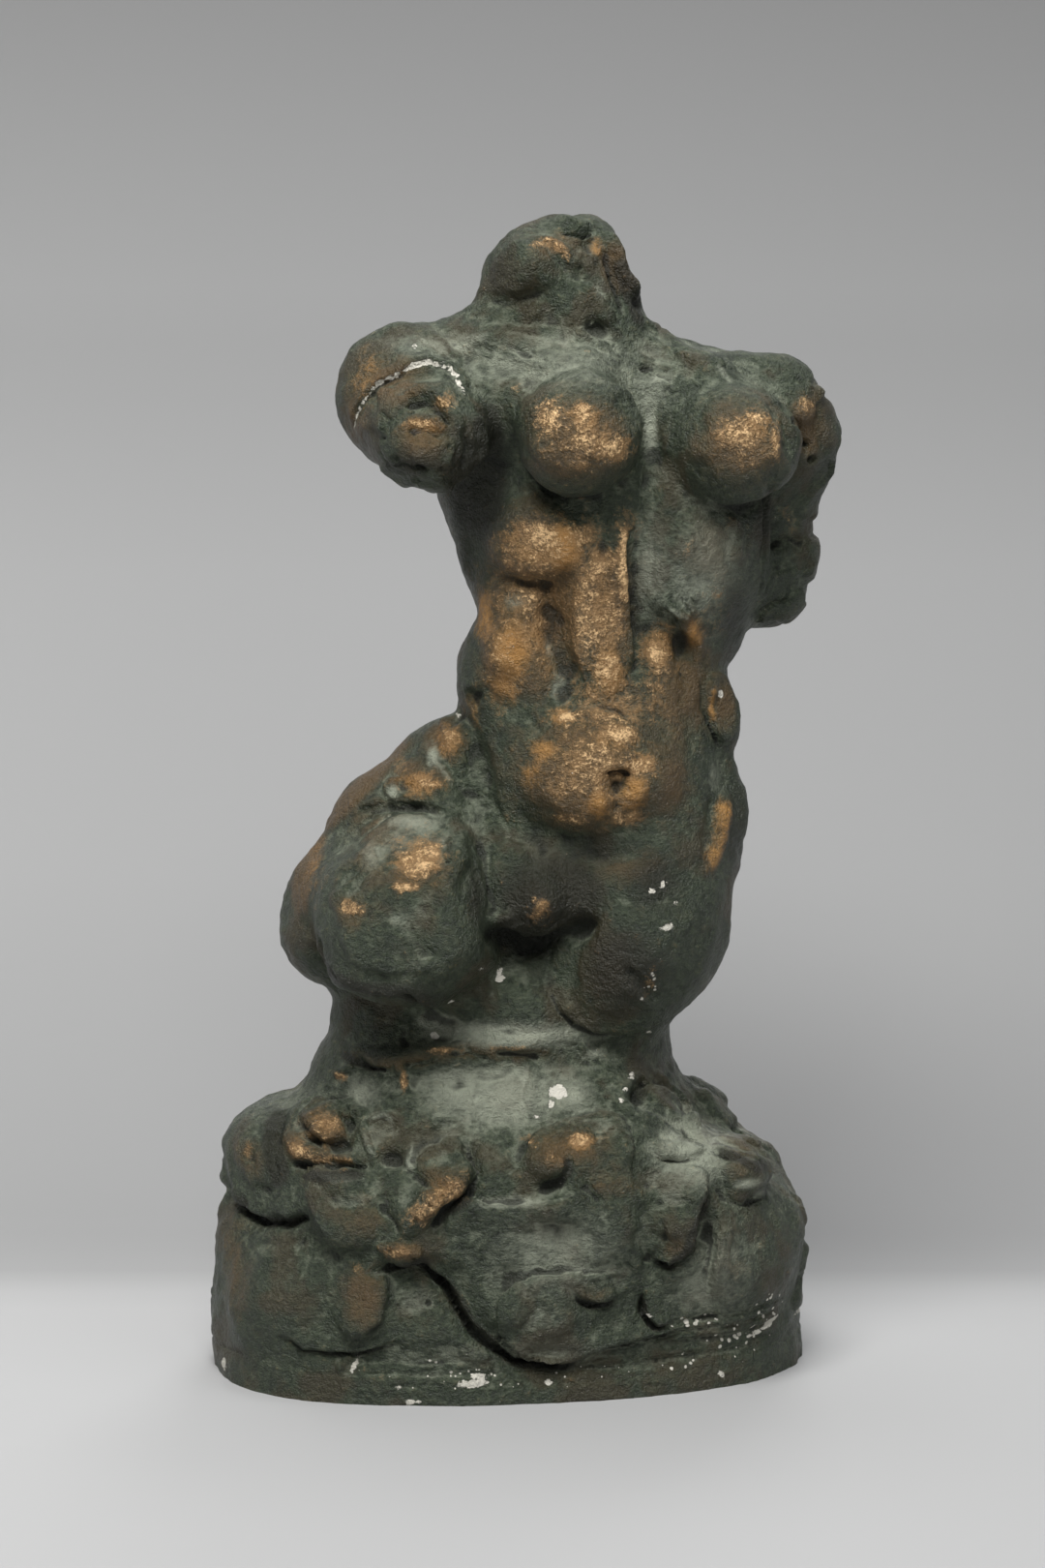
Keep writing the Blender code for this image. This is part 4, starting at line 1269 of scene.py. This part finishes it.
def rub_copper_and_paint_shade():
    """Copper in grains on the tops, smooth amber beside it, brown around them, and painted shade in the gaps
    and where shadow falls.
    """
    grains = (
        # Wide and thin, under the bright tops.
        ((31, 366), (16, 16), 0.85), ((12, 338), (40, 60), 0.68), ((42, 292), (44, 34), 0.66),
        ((14, 362), (34, 24), 0.8), ((35, 336), (25, 56), 0.8), ((63, 314), (17, 26), 0.7),
        ((88, 334), (14, 26), 0.4),
        ((-2, 314), (17, 34), 0.6), ((36, 270), (38, 32), 0.75), ((-38, 232), (26, 16), 0.65),
        ((-36, 260), (20, 11), 0.4), ((30, 408), (30, 26), 0.58), ((98, 408), (28, 24), 0.55),
        ((-80, 110), (22, 14), 0.42), ((20, 108), (26, 11), 0.34), ((50, 374), (16, 16), 0.4),
        # The chest and the near arm.
        ((17, 418), (11, 16), 1.0), ((31, 420), (7, 9), 1.3), ((43, 406), (17, 11), 1.0),
        ((32, 409), (9, 12), 1.0), ((97, 411), (19, 14), 0.95), ((112, 408), (4, 16), 1.0),
        ((104, 418), (9, 7), 1.0), ((-37, 416), (11, 4), 1.3), ((-27, 424), (9, 7), 0.9),
        ((3, 429), (5, 4), 0.6), ((127, 421), (7, 8), 0.8), ((121, 372), (5, 12), 0.5),
        # The ribs and the belly.
        ((12, 366), (17, 12), 1.3), ((39, 356), (13, 14), 1.0), ((42, 331), (14, 26), 1.0),
        ((42, 310), (12, 16), 1.0), ((63, 316), (12, 13), 1.05), ((64, 300), (5, 11), 0.8),
        ((25, 290), (9, 4), 1.5), ((46, 283), (21, 9), 1.05), ((55, 270), (12, 9), 1.15),
        ((38, 276), (11, 7), 1.0), ((51, 247), (14, 7), 0.9), ((27, 247), (15, 7), 0.75),
        ((22, 262), (16, 18), 0.6), ((76, 362), (6, 9), 0.5), ((94, 372), (5, 9), 0.45),
        # The hips and thighs.
        ((-25, 277), (8, 11), 0.8), ((-38, 230), (16, 11), 1.15), ((-33, 234), (9, 9), 1.2),
        ((-44, 221), (11, 3), 1.3), ((-66, 212), (10, 5), 1.0), ((-35, 258), (13, 6), 0.85),
        ((12, 208), (9, 14), 0.6), ((60, 176), (6, 12), 0.5), ((-46, 264), (7, 8), 0.6),
        # The rock.
        ((-78, 115), (12, 8), 0.8), ((-90, 103), (10, 7), 1.0), ((-72, 102), (11, 3.5), 0.8),
        ((30, 113), (9, 5), 1.3), ((8, 112), (7, 3), 0.7), ((-47, 68), (11, 5), 0.9),
        ((-113, 98), (5, 9), 0.6), ((-28, 146), (16, 3), 0.9), ((0, 147), (15, 2.6), 0.8),
        ((-45, 134), (3.5, 8), 1.0), ((-73, 132), (7, 3.5), 1.0), ((-64, 60), (7, 5), 0.6),
    )  # fmt: skip
    amber = (
        ((23, 362), (14, 18), 1.5), ((10, 358), (20, 10), 0.8), ((1, 366), (10, 12), 0.6),
        ((1, 316), (15, 22), 1.3), ((-2, 303), (12, 18), 0.85), ((-11, 331), (9, 18), 1.1),
        ((12, 324), (10, 14), 0.6), ((42, 309), (15, 22), 1.0), ((37, 340), (14, 16), 0.6),
        ((64, 318), (14, 16), 0.7), ((79, 324), (7, 12), 0.9), ((38, 254), (9, 13), 1.15),
        ((53, 258), (11, 16), 1.05), ((55, 270), (12, 11), 0.8), ((15, 276), (14, 8), 0.9),
        ((10, 266), (9, 15), 0.75), ((23, 290), (12, 6), 0.9), ((45, 281), (22, 12), 0.65),
        ((32, 420), (12, 12), 0.7), ((40, 405), (18, 13), 0.6), ((104, 416), (14, 12), 0.55),
        ((-36, 415), (15, 6), 0.9), ((-38, 232), (18, 12), 0.75), ((-26, 276), (11, 13), 0.7),
        ((-38, 258), (17, 9), 0.8), ((37, 488), (7, 9), 0.7), ((-60, 432), (12, 22), 0.55),
        ((31, 113), (13, 7), 0.8), ((-27, 93), (12, 9), 0.6), ((-16, 290), (9, 16), 0.6),
        ((-85, 224), (10, 30), 0.6), ((12, 208), (10, 12), 0.5),
    )  # fmt: skip
    halos = (
        # Wide, over the whole front of the trunk.
        ((14, 336), (44, 62), 1.05), ((34, 268), (52, 46), 1.0), ((74, 300), (26, 44), 0.8),
        ((-56, 238), (34, 30), 0.5),
        ((30, 410), (32, 28), 0.95), ((97, 408), (30, 26), 0.85), ((-50, 432), (28, 18), 0.8),
        ((-66, 416), (10, 24), 0.75), ((-36, 412), (20, 16), 0.8), ((128, 412), (14, 22), 0.8),
        ((12, 362), (28, 20), 1.1), ((42, 334), (18, 48), 1.1), ((64, 316), (17, 22), 0.9),
        ((-2, 314), (18, 34), 1.1), ((78, 322), (10, 22), 0.9), ((86, 356), (18, 26), 0.55),
        ((34, 266), (38, 34), 1.05), ((70, 262), (16, 30), 0.7), ((74, 290), (10, 22), 0.5),
        ((-28, 276), (16, 14), 0.95), ((-40, 260), (22, 12), 0.95), ((-38, 228), (24, 15), 0.8),
        ((12, 210), (14, 16), 0.4), ((42, 180), (26, 26), 0.55), ((-66, 210), (14, 12), 0.6),
        ((50, 226), (34, 14), 0.5), ((20, 488), (16, 9), 0.7), ((44, 480), (9, 16), 0.6),
        ((-80, 112), (20, 14), 0.9), ((-93, 104), (14, 12), 0.8), ((-112, 96), (12, 14), 0.6),
        ((24, 110), (28, 12), 0.8), ((-62, 48), (16, 22), 0.8), ((-62, 80), (20, 16), 0.45),
        ((-118, 50), (12, 30), 0.6), ((-28, 96), (20, 14), 0.7), ((-44, 68), (18, 8), 0.8),
        ((70, 66), (14, 12), 0.4), ((40, 96), (18, 16), 0.5), ((98, 100), (14, 14), 0.5),
        ((96, 60), (8, 24), 0.4), ((36, 48), (12, 8), 0.4),
    )  # fmt: skip
    for kind, marks in (("copper", grains), ("amber", amber), ("brown", halos)):
        for place, size, amount in marks:
            dab(kind, place, size, amount)
    for path, width, amount in (
        ([(-15, 98), (-23, 95), (-31, 89), (-38, 83), (-42, 77)], 9, 0.72),
        ([(8, 487), (12, 489), (17, 490), (22, 487), (27, 481)], 4, 0.75),
        ([(50, 374), (49, 362), (49, 350), (50, 336)], 3.5, 1.2),
        ([(-92, 104), (-84, 101), (-72, 102)], 4, 0.8),
    ):
        streak("copper", path, width, amount)
    streak("amber", [(94, 254), (93, 243), (90, 231), (85, 220)], 8, 0.8)
    streak("amber", [(89, 302), (87, 292), (88, 283)], 2.5, 0.8)
    streak("brown", [(-92, 196), (-90, 214), (-84, 232), (-72, 248), (-56, 262), (-40, 274)], 13, 1.0)
    streak("brown", [(41, 488), (47, 476), (51, 466)], 8, 0.8)
    streak("brown", [(-72, 142), (-52, 140), (-20, 146), (14, 144), (34, 140)], 5, 0.45)
    dab("brown", (46, 291), (10, 18), 0.9, view=50)
    # Painted shade: near-black where shadow falls, in the armpit, beside the near arm, under the breasts,
    # the belly and the thighs, round the pubic mound, on the sides turned from the light, and in hollows of
    # the neck and the rock.
    for place, size, amount in (
        ((8, 196), (28, 22), 1.5), ((18, 214), (38, 28), 1.6), ((36, 232), (34, 14), 0.8),
        ((48, 182), (32, 36), 1.15), ((62, 220), (26, 28), 0.8), ((-14, 388), (22, 42), 1.6),
        ((-18, 362), (10, 50), 0.6),
        ((28, 384), (30, 5), 0.6), ((98, 379), (26, 6), 0.7), ((-30, 172), (40, 10), 0.6),
        ((12, 178), (14, 16), 0.5), ((-46, 196), (32, 15), 0.45), ((-14, 216), (8, 26), 0.9),
        ((-50, 177), (34, 9), 0.9), ((96, 330), (12, 50), 0.7), ((98, 240), (14, 46), 0.7),
        ((40, 236), (34, 9), 0.6), ((-42, 398), (24, 9), 0.8), ((-9, 408), (11, 24), 1.7),
        ((110, 372), (8, 30), 0.9), ((-6, 476), (9, 18), 0.5), ((85, 70), (5, 16), 0.8),
        ((56, 125), (8, 7), 1.0), ((-112, 40), (20, 30), 0.35), ((30, 24), (40, 6), 0.5),
        ((120, 390), (14, 30), 0.4), ((46, 474), (8, 22), 0.5),
    ):  # fmt: skip
        dab("painted_shade", place, size, amount)
    # Painted shade as dark lines along the deepest gaps and grooves.
    for path, width in (
        (DEEP_GAP, 5), ([(-122, 79), (-111, 72), (-104, 70), (-95, 72), (-87, 77)], 5),
        ([(-93, 97), (-84, 96), (-73, 98), (-60, 99)], 3.5), ([(60, 62), (68, 57), (76, 63), (85, 90)], 4),
        ([(24, 108), (25, 101), (21, 96), (12, 94)], 3.5), ([(-14, 97), (-17, 91), (-27, 84), (-32, 77)], 4),
        ([(28, 46), (35, 42), (46, 43.5)], 3), ([(57, 45), (58, 37), (62, 30), (68, 31)], 3.5),
        ([(57, 452), (52, 468), (46, 484)], 6), ([(-74, 141), (-60, 137), (-52, 138)], 3),
        ([(88, 103), (96, 101), (104, 98), (113, 95)], 4), ([(-100, 118), (-102, 104), (-97, 86)], 7),
        ([(-79, 190), (-77, 182), (-63, 177), (-43, 176), (-28, 166)], 6),
    ):  # fmt: skip
        streak("painted_shade", path, width, 1.3)


def settle_dust_and_sheen():
    # Pale on every face that turns up: settled dust, and painted sheen where the light from above falls.
    upward = np.clip(skin.normals[:, 2], 0, 1)
    wear_and_painted_light["dust_and_sheen"] = 0.36 * upward * np.interp(skin.points[:, 2] / MM, (90, 160, 480), (1, 1, 0.7))
    # Dabs of pale: dust, and painted sheen on planes turned to the light, such as the top of the near thigh,
    # the flat top of the flank muscle and the chest.
    for place, size, amount in (
        # Wide and thin.
        ((60, 428), (18, 24), 0.6), ((62, 352), (14, 44), 0.6), ((85, 352), (30, 44), 0.8),
        ((-6, 128), (60, 22), 0.95), ((80, 104), (36, 24), 1.0), ((0, 152), (60, 12), 1.0),
        ((20, 66), (56, 34), 0.65), ((88, 52), (34, 50), 0.6), ((-46, 238), (34, 16), 0.6),
        ((20, 440), (80, 24), 0.6), ((-40, 446), (30, 10), 0.6), ((0, 22), (110, 14), 0.4),
        # The neck, the chest and the flank.
        ((38, 451), (9, 4), 1.0), ((39, 470), (5, 10), 0.6), ((-20, 446), (12, 5), 0.8),
        ((-5, 440), (16, 7), 0.5), ((62, 432), (10, 5), 0.8), ((60, 410), (5, 20), 0.9),
        ((4, 338), (14, 9), 0.8), ((21, 302), (9, 11), 0.7), ((17, 318), (5, 12), 0.6),
        ((61, 350), (7, 26), 0.5), ((96, 366), (5, 10), 0.6), ((70, 346), (10, 12), 0.4),
        # The hips and thighs.
        ((-42, 244), (26, 6), 1.0), ((-58, 232), (10, 12), 0.8), ((-33, 269), (5, 8), 1.2),
        ((-50, 254), (5, 6), 1.2), ((-44, 208), (16, 9), 0.4), ((-38, 190), (10, 5), 0.4),
        ((88, 262), (5, 12), 0.6),
        # The seat and the rock.
        ((2, 153), (22, 5), 1.2), ((-30, 156), (20, 8), 0.8), ((36, 143), (9, 4), 0.8),
        ((-20, 130), (36, 18), 0.95), ((26, 128), (22, 16), 0.8), ((-62, 128), (16, 12), 0.7),
        ((72, 109), (16, 10), 0.95), ((75, 101), (11, 4), 1.3), ((102, 90), (11, 4), 1.2),
        ((0, 88), (26, 3), 1.1), ((-72, 97), (17, 3), 1.1), ((-42, 104), (4, 8), 1.0),
        ((-64, 88), (16, 8), 0.5), ((70, 90), (10, 10), 0.6), ((10, 72), (30, 14), 0.4),
        ((16, 38), (20, 14), 0.4), ((-38, 46), (14, 12), 0.5), ((108, 84), (6, 5), 0.7),
        ((92, 56), (4, 20), 0.7),
    ):  # fmt: skip
        dab("dust_and_sheen", place, size, amount)
    # Pale lines on thin ridges: dust, and painted highlights along their tops.
    for path, width in (
        ([(-23, 448), (-15, 449), (-7, 450)], 3), ([(-17, 445), (-11, 442)], 2),
        ([(-2, 442), (8, 439), (19, 437)], 2), ([(67, 337), (72, 333), (78, 331)], 2.2),
        ([(75, 343), (77, 337), (79, 333)], 2), ([(88, 439), (92, 434), (95, 430)], 2.6),
        ([(-37, 276), (-31, 267), (-24, 258)], 2.2), ([(58, 434), (66, 429)], 2.4),
        ([(-62, 115), (-60, 109), (-57, 104)], 2.2), ([(-60, 118), (-54, 121), (-48, 118)], 2.2),
        ([(76, 114), (82, 110), (88, 104)], 2.4), ([(46, 449), (38, 449), (30, 454)], 2.6),
    ):  # fmt: skip
        streak("dust_and_sheen", path, width, 0.7)


def knock_off_chips():
    bare_line(ARM_CRACK, (0.7, 0.5, 0.6, 0.9, 1.1, 1.0, 1.4, 1.4, 1.0, 1.0, 0.8))
    for place, size, turn in (
        ((21, 129), (4.2, 2.8), -5), ((18, 125), (1.2, 1.6), 0), ((-32, 151), (1.8, 1.6), 0),
        ((-22, 285), (1.2, 1.1), 0), ((91, 297), (1.0, 1.5), 0), ((66, 219), (2.0, 1.2), 30),
        ((61, 216), (1.4, 1.5), 0), ((71, 210), (1.3, 1.2), 0), ((67, 201), (3.2, 1.5), 14),
        ((-4, 178), (1.2, 2.6), 4), ((-4, 176), (2.0, 1.5), 0), ((-12, 184), (1.0, 0.9), 0),
        ((-25, 167), (1.2, 1.0), 0), ((-15, 9.5), (6.2, 1.8), 0), ((-13, 12.5), (4, 1), 0),
        ((17, 9), (1.8, 1.1), 0), ((-47, 8), (1.2, 1.0), 0), ((-66, 16), (1.1, 4.6), -32),
        ((-124, 6), (1.4, 2.6), 0), ((53, 133), (1.6, 1.1), 0), ((50, 129), (1.1, 0.8), 0),
        ((48, 126), (1.0, 1.0), 0), ((57, 170), (1.0, 0.9), 0), ((61, 180), (0.9, 0.9), 0),
        ((61, 151), (1.2, 0.8), 0), ((91, 6), (2.2, 1.6), 0), ((-41, 1.5), (3.5, 1), 0),
        ((-40, 446), (0.9, 0.8), 0), ((12, 120), (1.2, 1.0), 0), ((60, 36), (1.4, 1.0), 0),
    ):  # fmt: skip
        chip(place, size, turn)
    bare_line([(-18, 22), (14, 20), (30, 25)], (0, 1.1, 1.8, 1.3, 0.6), view="right")
    bare_line([(103, 20), (110, 22), (116, 26)], (0.5, 1, 1.2, 1.6))
    for place, size in (
        ((78, 30), (22, 8)), ((98, 20), (26, 14)), ((74, 12), (14, 8)), ((112, 34), (14, 14)),
        ((62, 178), (7, 14)), ((-24, 18), (24, 8)),
    ):  # fmt: skip
        dab("specks", place, size, 1.0)
    dab("specks", (0, 12), (110, 10), 0.45)


rub_copper_and_paint_shade()
settle_dust_and_sheen()
knock_off_chips()
print("marks of wear:", skin.strokes)

# %% [markdown]
# The deepest hollows are painted near-black, as painted shade; shallow hollows get a paler ground and
# more dust, and proud edges more brown and copper. A point's hollow is how far the skin around it,
# smoothed a few times, stands in front of it, in millimetres.

# %% Measure the hollows
HOLLOW_PASSES = 8
HOLLOW_MOST = 4

sunken = np.clip(-skin.standing(HOLLOW_PASSES), -HOLLOW_MOST, HOLLOW_MOST)
wear_and_painted_light["hollow"] = np.where(skin.points[:, 2] < ON_THE_GROUND * MM, 0, sunken)
print("hollows in mm, from the 2nd to the 98th percent:", np.percentile(sunken, (2, 98)).round(2))
for name, values in wear_and_painted_light.items():
    layer = torso_mesh.attributes.new(name, "FLOAT", "POINT")
    layer.data.foreach_set("value", values.astype(np.float32))
bpy.data.objects.remove(skin.object)

# %% [markdown]
# ## The paint
#
# One material carries every layer, from the bottom up: a mottled dark green ground with umber in it,
# brown, dust that also paints sheen, painted shade, amber, bronze and copper, painted shade again in the
# deepest hollows, and bare plaster in the chips. A node tree of this size is easier to read as sums, so
# a small class lays its nodes out.

# %% Lay out nodes in few words


class Paint:
    """A short way to lay out a node tree: each call adds a node and returns its output."""

    def __init__(self, name):
        self.material, self.nodes, self.links = material(name)
        self.shader = self.nodes["Principled BSDF"]
        self.place = self.nodes.new("ShaderNodeTexCoord").outputs["Object"]

    def feed(self, socket, value):
        if isinstance(value, bpy.types.NodeSocket):
            self.links.new(value, socket)
        else:
            socket.default_value = value

    def attribute(self, name):
        node = self.nodes.new("ShaderNodeAttribute")
        node.attribute_name = name
        return node.outputs["Fac"]

    def noise(self, size, detail, roughness, stretch=None):
        """Cloudy noise whose lumps are about this many millimetres across, or drawn out."""
        node = self.nodes.new("ShaderNodeTexNoise")
        set_inputs(node, {"Scale": 1 / (size * MM), "Detail": detail, "Roughness": roughness})
        place = self.place
        if stretch:
            mapping = self.nodes.new("ShaderNodeMapping")
            mapping.inputs["Scale"].default_value = stretch
            self.links.new(place, mapping.inputs["Vector"])
            place = mapping.outputs["Vector"]
        self.links.new(place, node.inputs["Vector"])
        return self.span(node.outputs["Fac"], "LINEAR", 0.33, 0.67, 0.0, 1.0)

    def cells(self, size):
        """Distance from the nearest of many scattered points, in shares of the spacing."""
        node = self.nodes.new("ShaderNodeTexVoronoi")
        node.inputs["Scale"].default_value = 1 / (size * MM)
        self.links.new(self.place, node.inputs["Vector"])
        return node.outputs["Distance"]

    def span(self, value, manner, low, high, to_low, to_high):
        """Spreads the values from low to high over another range, evenly or smoothly."""
        node = self.nodes.new("ShaderNodeMapRange")
        node.interpolation_type = manner
        self.feed(node.inputs["Value"], value)
        set_inputs(node, {"From Min": low, "From Max": high, "To Min": to_low, "To Max": to_high})
        return node.outputs[0]

    def fit(self, value, low, high, to_low=0.0, to_high=1.0):
        return self.span(value, "SMOOTHSTEP", low, high, to_low, to_high)

    def math(self, operation, a, b=0.0):
        node = self.nodes.new("ShaderNodeMath")
        node.operation = operation
        self.feed(node.inputs[0], a)
        self.feed(node.inputs[1], b)
        return node.outputs[0]

    def plus(self, *terms):
        """Adds sockets, or (socket, weight) pairs."""
        total = None
        for term in terms:
            if isinstance(term, tuple):
                term = self.math("MULTIPLY", *term)
            total = term if total is None else self.math("ADD", total, term)
        return total

    def ramp(self, value, stops):
        node = self.nodes.new("ShaderNodeValToRGB")
        fill_ramp(node, stops)
        self.feed(node.inputs["Fac"], value)
        return node.outputs["Color"]

    def mix(self, share, below, above):
        node = self.nodes.new("ShaderNodeMix")
        node.data_type = "RGBA"
        self.feed(node.inputs["Factor"], share)
        sockets = [s for s in node.inputs if s.type == "RGBA"]
        for socket, value in zip(sockets, (below, above)):
            self.feed(socket, value if isinstance(value, bpy.types.NodeSocket) else (*value, 1))
        return next(s for s in node.outputs if s.type == "RGBA")


# %% [markdown]
# The grain of each layer is its own mix of a coarse, a fine and a brushed noise, and the numbers from
# the wear move the level at which the layer breaks through. Only the rubbed metal is a little
# metallic. A bump of the same noises gives the paint its tooth.

# %% Paint it as old bronze
GROUND = [
    (0.12, (0.012, 0.018, 0.010)),
    (0.38, (0.032, 0.044, 0.025)),
    (0.62, (0.066, 0.085, 0.050)),
    (0.92, (0.140, 0.165, 0.108)),
]
UMBER = (0.050, 0.038, 0.018)
# Near-black for painted shade.
PAINTED_SHADE_COLOUR = (0.013, 0.013, 0.006)
BROWN = (0.105, 0.066, 0.026)
AMBER = (0.50, 0.255, 0.070)
BRONZE = (0.33, 0.200, 0.090)
PALE_COPPER = (0.90, 0.61, 0.32)
# Pale grey-green for dust and painted sheen.
DUST_AND_SHEEN_COLOUR = (0.385, 0.410, 0.320)
# Near-black for painted shade in the deepest hollows.
CREVICE_SHADE_COLOUR = (0.008, 0.010, 0.006)
PLASTER = (0.78, 0.75, 0.66)
BRUSH_STRETCH = (0.45, 0.45, 1.0)
RUBBED_METAL = 0.4
BARE_GLOSS = 0.9
BUMP_DEPTH = 0.9


def old_bronze():
    paint = Paint("bronzed_plaster")
    hollow = paint.attribute("hollow")
    rubbed = paint.attribute("copper")
    grain = paint.noise(0.9, detail=2, roughness=0.6)
    speckle = paint.noise(2.6, detail=4, roughness=0.65)
    blotch = paint.noise(8, detail=5, roughness=0.7)
    cloud = paint.noise(30, detail=4, roughness=0.6)
    brushed = paint.noise(1.5, detail=4, roughness=0.7, stretch=BRUSH_STRETCH)
    proud = paint.fit(hollow, 0.05, -0.30)
    # Painted shade in the deepest hollows, where shadow falls.
    crevice_shade = paint.fit(hollow, 0.45, 1.30, 0, 0.8)
    sunk = paint.fit(hollow, -0.10, 0.50)

    grit = paint.plus((speckle, 0.45), (grain, 0.35), (brushed, 0.20))
    ground = paint.plus((blotch, 0.18), (speckle, 0.28), (brushed, 0.24), (cloud, 0.14), (sunk, 0.12))
    ground = paint.ramp(ground, GROUND)
    ground = paint.mix(paint.fit(cloud, 0.45, 0.85, 0, 0.7), ground, UMBER)

    worn = paint.attribute("brown")
    brown = paint.plus(worn, (blotch, 0.30), (grit, 0.30), (proud, 0.15))
    colour = paint.mix(paint.fit(brown, 0.45, 1.25, 0, 0.92), ground, BROWN)

    # Dust, and painted sheen on faces turned up to the light; more in shallow hollows, less where brown is
    # rubbed.
    dust_and_sheen = paint.plus(paint.attribute("dust_and_sheen"), (speckle, 0.18), (blotch, 0.10), (brushed, 0.16))
    dust_and_sheen = paint.fit(paint.plus(dust_and_sheen, (sunk, 0.25), (worn, -0.28)), 0.35, 1.40, 0, 0.80)
    colour = paint.mix(dust_and_sheen, colour, DUST_AND_SHEEN_COLOUR)
    # Painted shade: near-black where shadow falls and along the deepest gaps.
    painted_shade = paint.plus(paint.attribute("painted_shade"), (speckle, 0.25), (blotch, 0.25))
    colour = paint.mix(paint.fit(painted_shade, 0.40, 1.20, 0, 0.85), colour, PAINTED_SHADE_COLOUR)

    amber = paint.plus((paint.attribute("amber"), 0.9), (blotch, 0.45), (grit, 0.45))
    amber = paint.fit(amber, 0.62, 1.65)
    colour = paint.mix(amber, colour, AMBER)

    bronze = paint.plus((rubbed, 0.9), (blotch, 0.4), (grit, 0.7))
    bronze = paint.fit(bronze, 0.78, 1.42, 0, 0.9)
    colour = paint.mix(bronze, colour, BRONZE)
    gold = paint.plus((rubbed, 0.55), (proud, 0.12), (grit, 1.0))
    gold = paint.fit(gold, 0.98, 1.40)
    colour = paint.mix(gold, colour, PALE_COPPER)
    # Painted shade darkens the deepest hollows.
    colour = paint.mix(crevice_shade, colour, CREVICE_SHADE_COLOUR)

    ragged = paint.fit(speckle, 0.1, 0.9, -0.4, 0.4)
    bare = paint.fit(paint.plus(paint.attribute("bare"), ragged), 0.2, -0.1)
    specks = paint.plus((paint.cells(3.4), -1), (paint.attribute("specks"), 0.34), (blotch, 0.16))
    bare = paint.math("MAXIMUM", bare, paint.fit(specks, 0.06, 0.12))
    colour = paint.mix(bare, colour, PLASTER)
    paint.feed(paint.shader.inputs["Base Color"], colour)

    covered = paint.fit(bare, 1, 0)
    metal = paint.math("MULTIPLY", paint.math("MAXIMUM", gold, bronze), RUBBED_METAL)
    metal = paint.math("MULTIPLY", metal, covered)
    paint.feed(paint.shader.inputs["Metallic"], metal)
    gloss = paint.plus(paint.fit(speckle, 0, 1, 0.33, 0.50), (dust_and_sheen, 0.10))
    bare_gloss = paint.math("MULTIPLY", bare, BARE_GLOSS)
    paint.feed(paint.shader.inputs["Roughness"], paint.math("MAXIMUM", gloss, bare_gloss))
    set_inputs(paint.shader, {"Specular IOR Level": 0.5})

    bump = paint.nodes.new("ShaderNodeBump")
    set_inputs(bump, {"Strength": 1.0, "Distance": BUMP_DEPTH * MM})
    relief = paint.plus((brushed, 0.35), (speckle, 0.9), (blotch, 0.5), (grain, 0.35), (bare, -0.4))
    paint.links.new(relief, bump.inputs["Height"])
    paint.links.new(bump.outputs["Normal"], paint.shader.inputs["Normal"])
    return paint.material


torso_mesh.materials.clear()
torso_mesh.materials.append(old_bronze())
print("paint: nodes", len(torso_mesh.materials[0].node_tree.nodes))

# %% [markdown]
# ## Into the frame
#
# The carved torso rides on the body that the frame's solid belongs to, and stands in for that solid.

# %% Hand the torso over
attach(torso, "root")
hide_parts(NODE)

size = {"cad": [list(corner) for corner in cad_box], "visual": [list(corner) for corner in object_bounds()]}
for name, box in size.items():
    print(name, [[round(value / MM, 1) for value in corner] for corner in box])
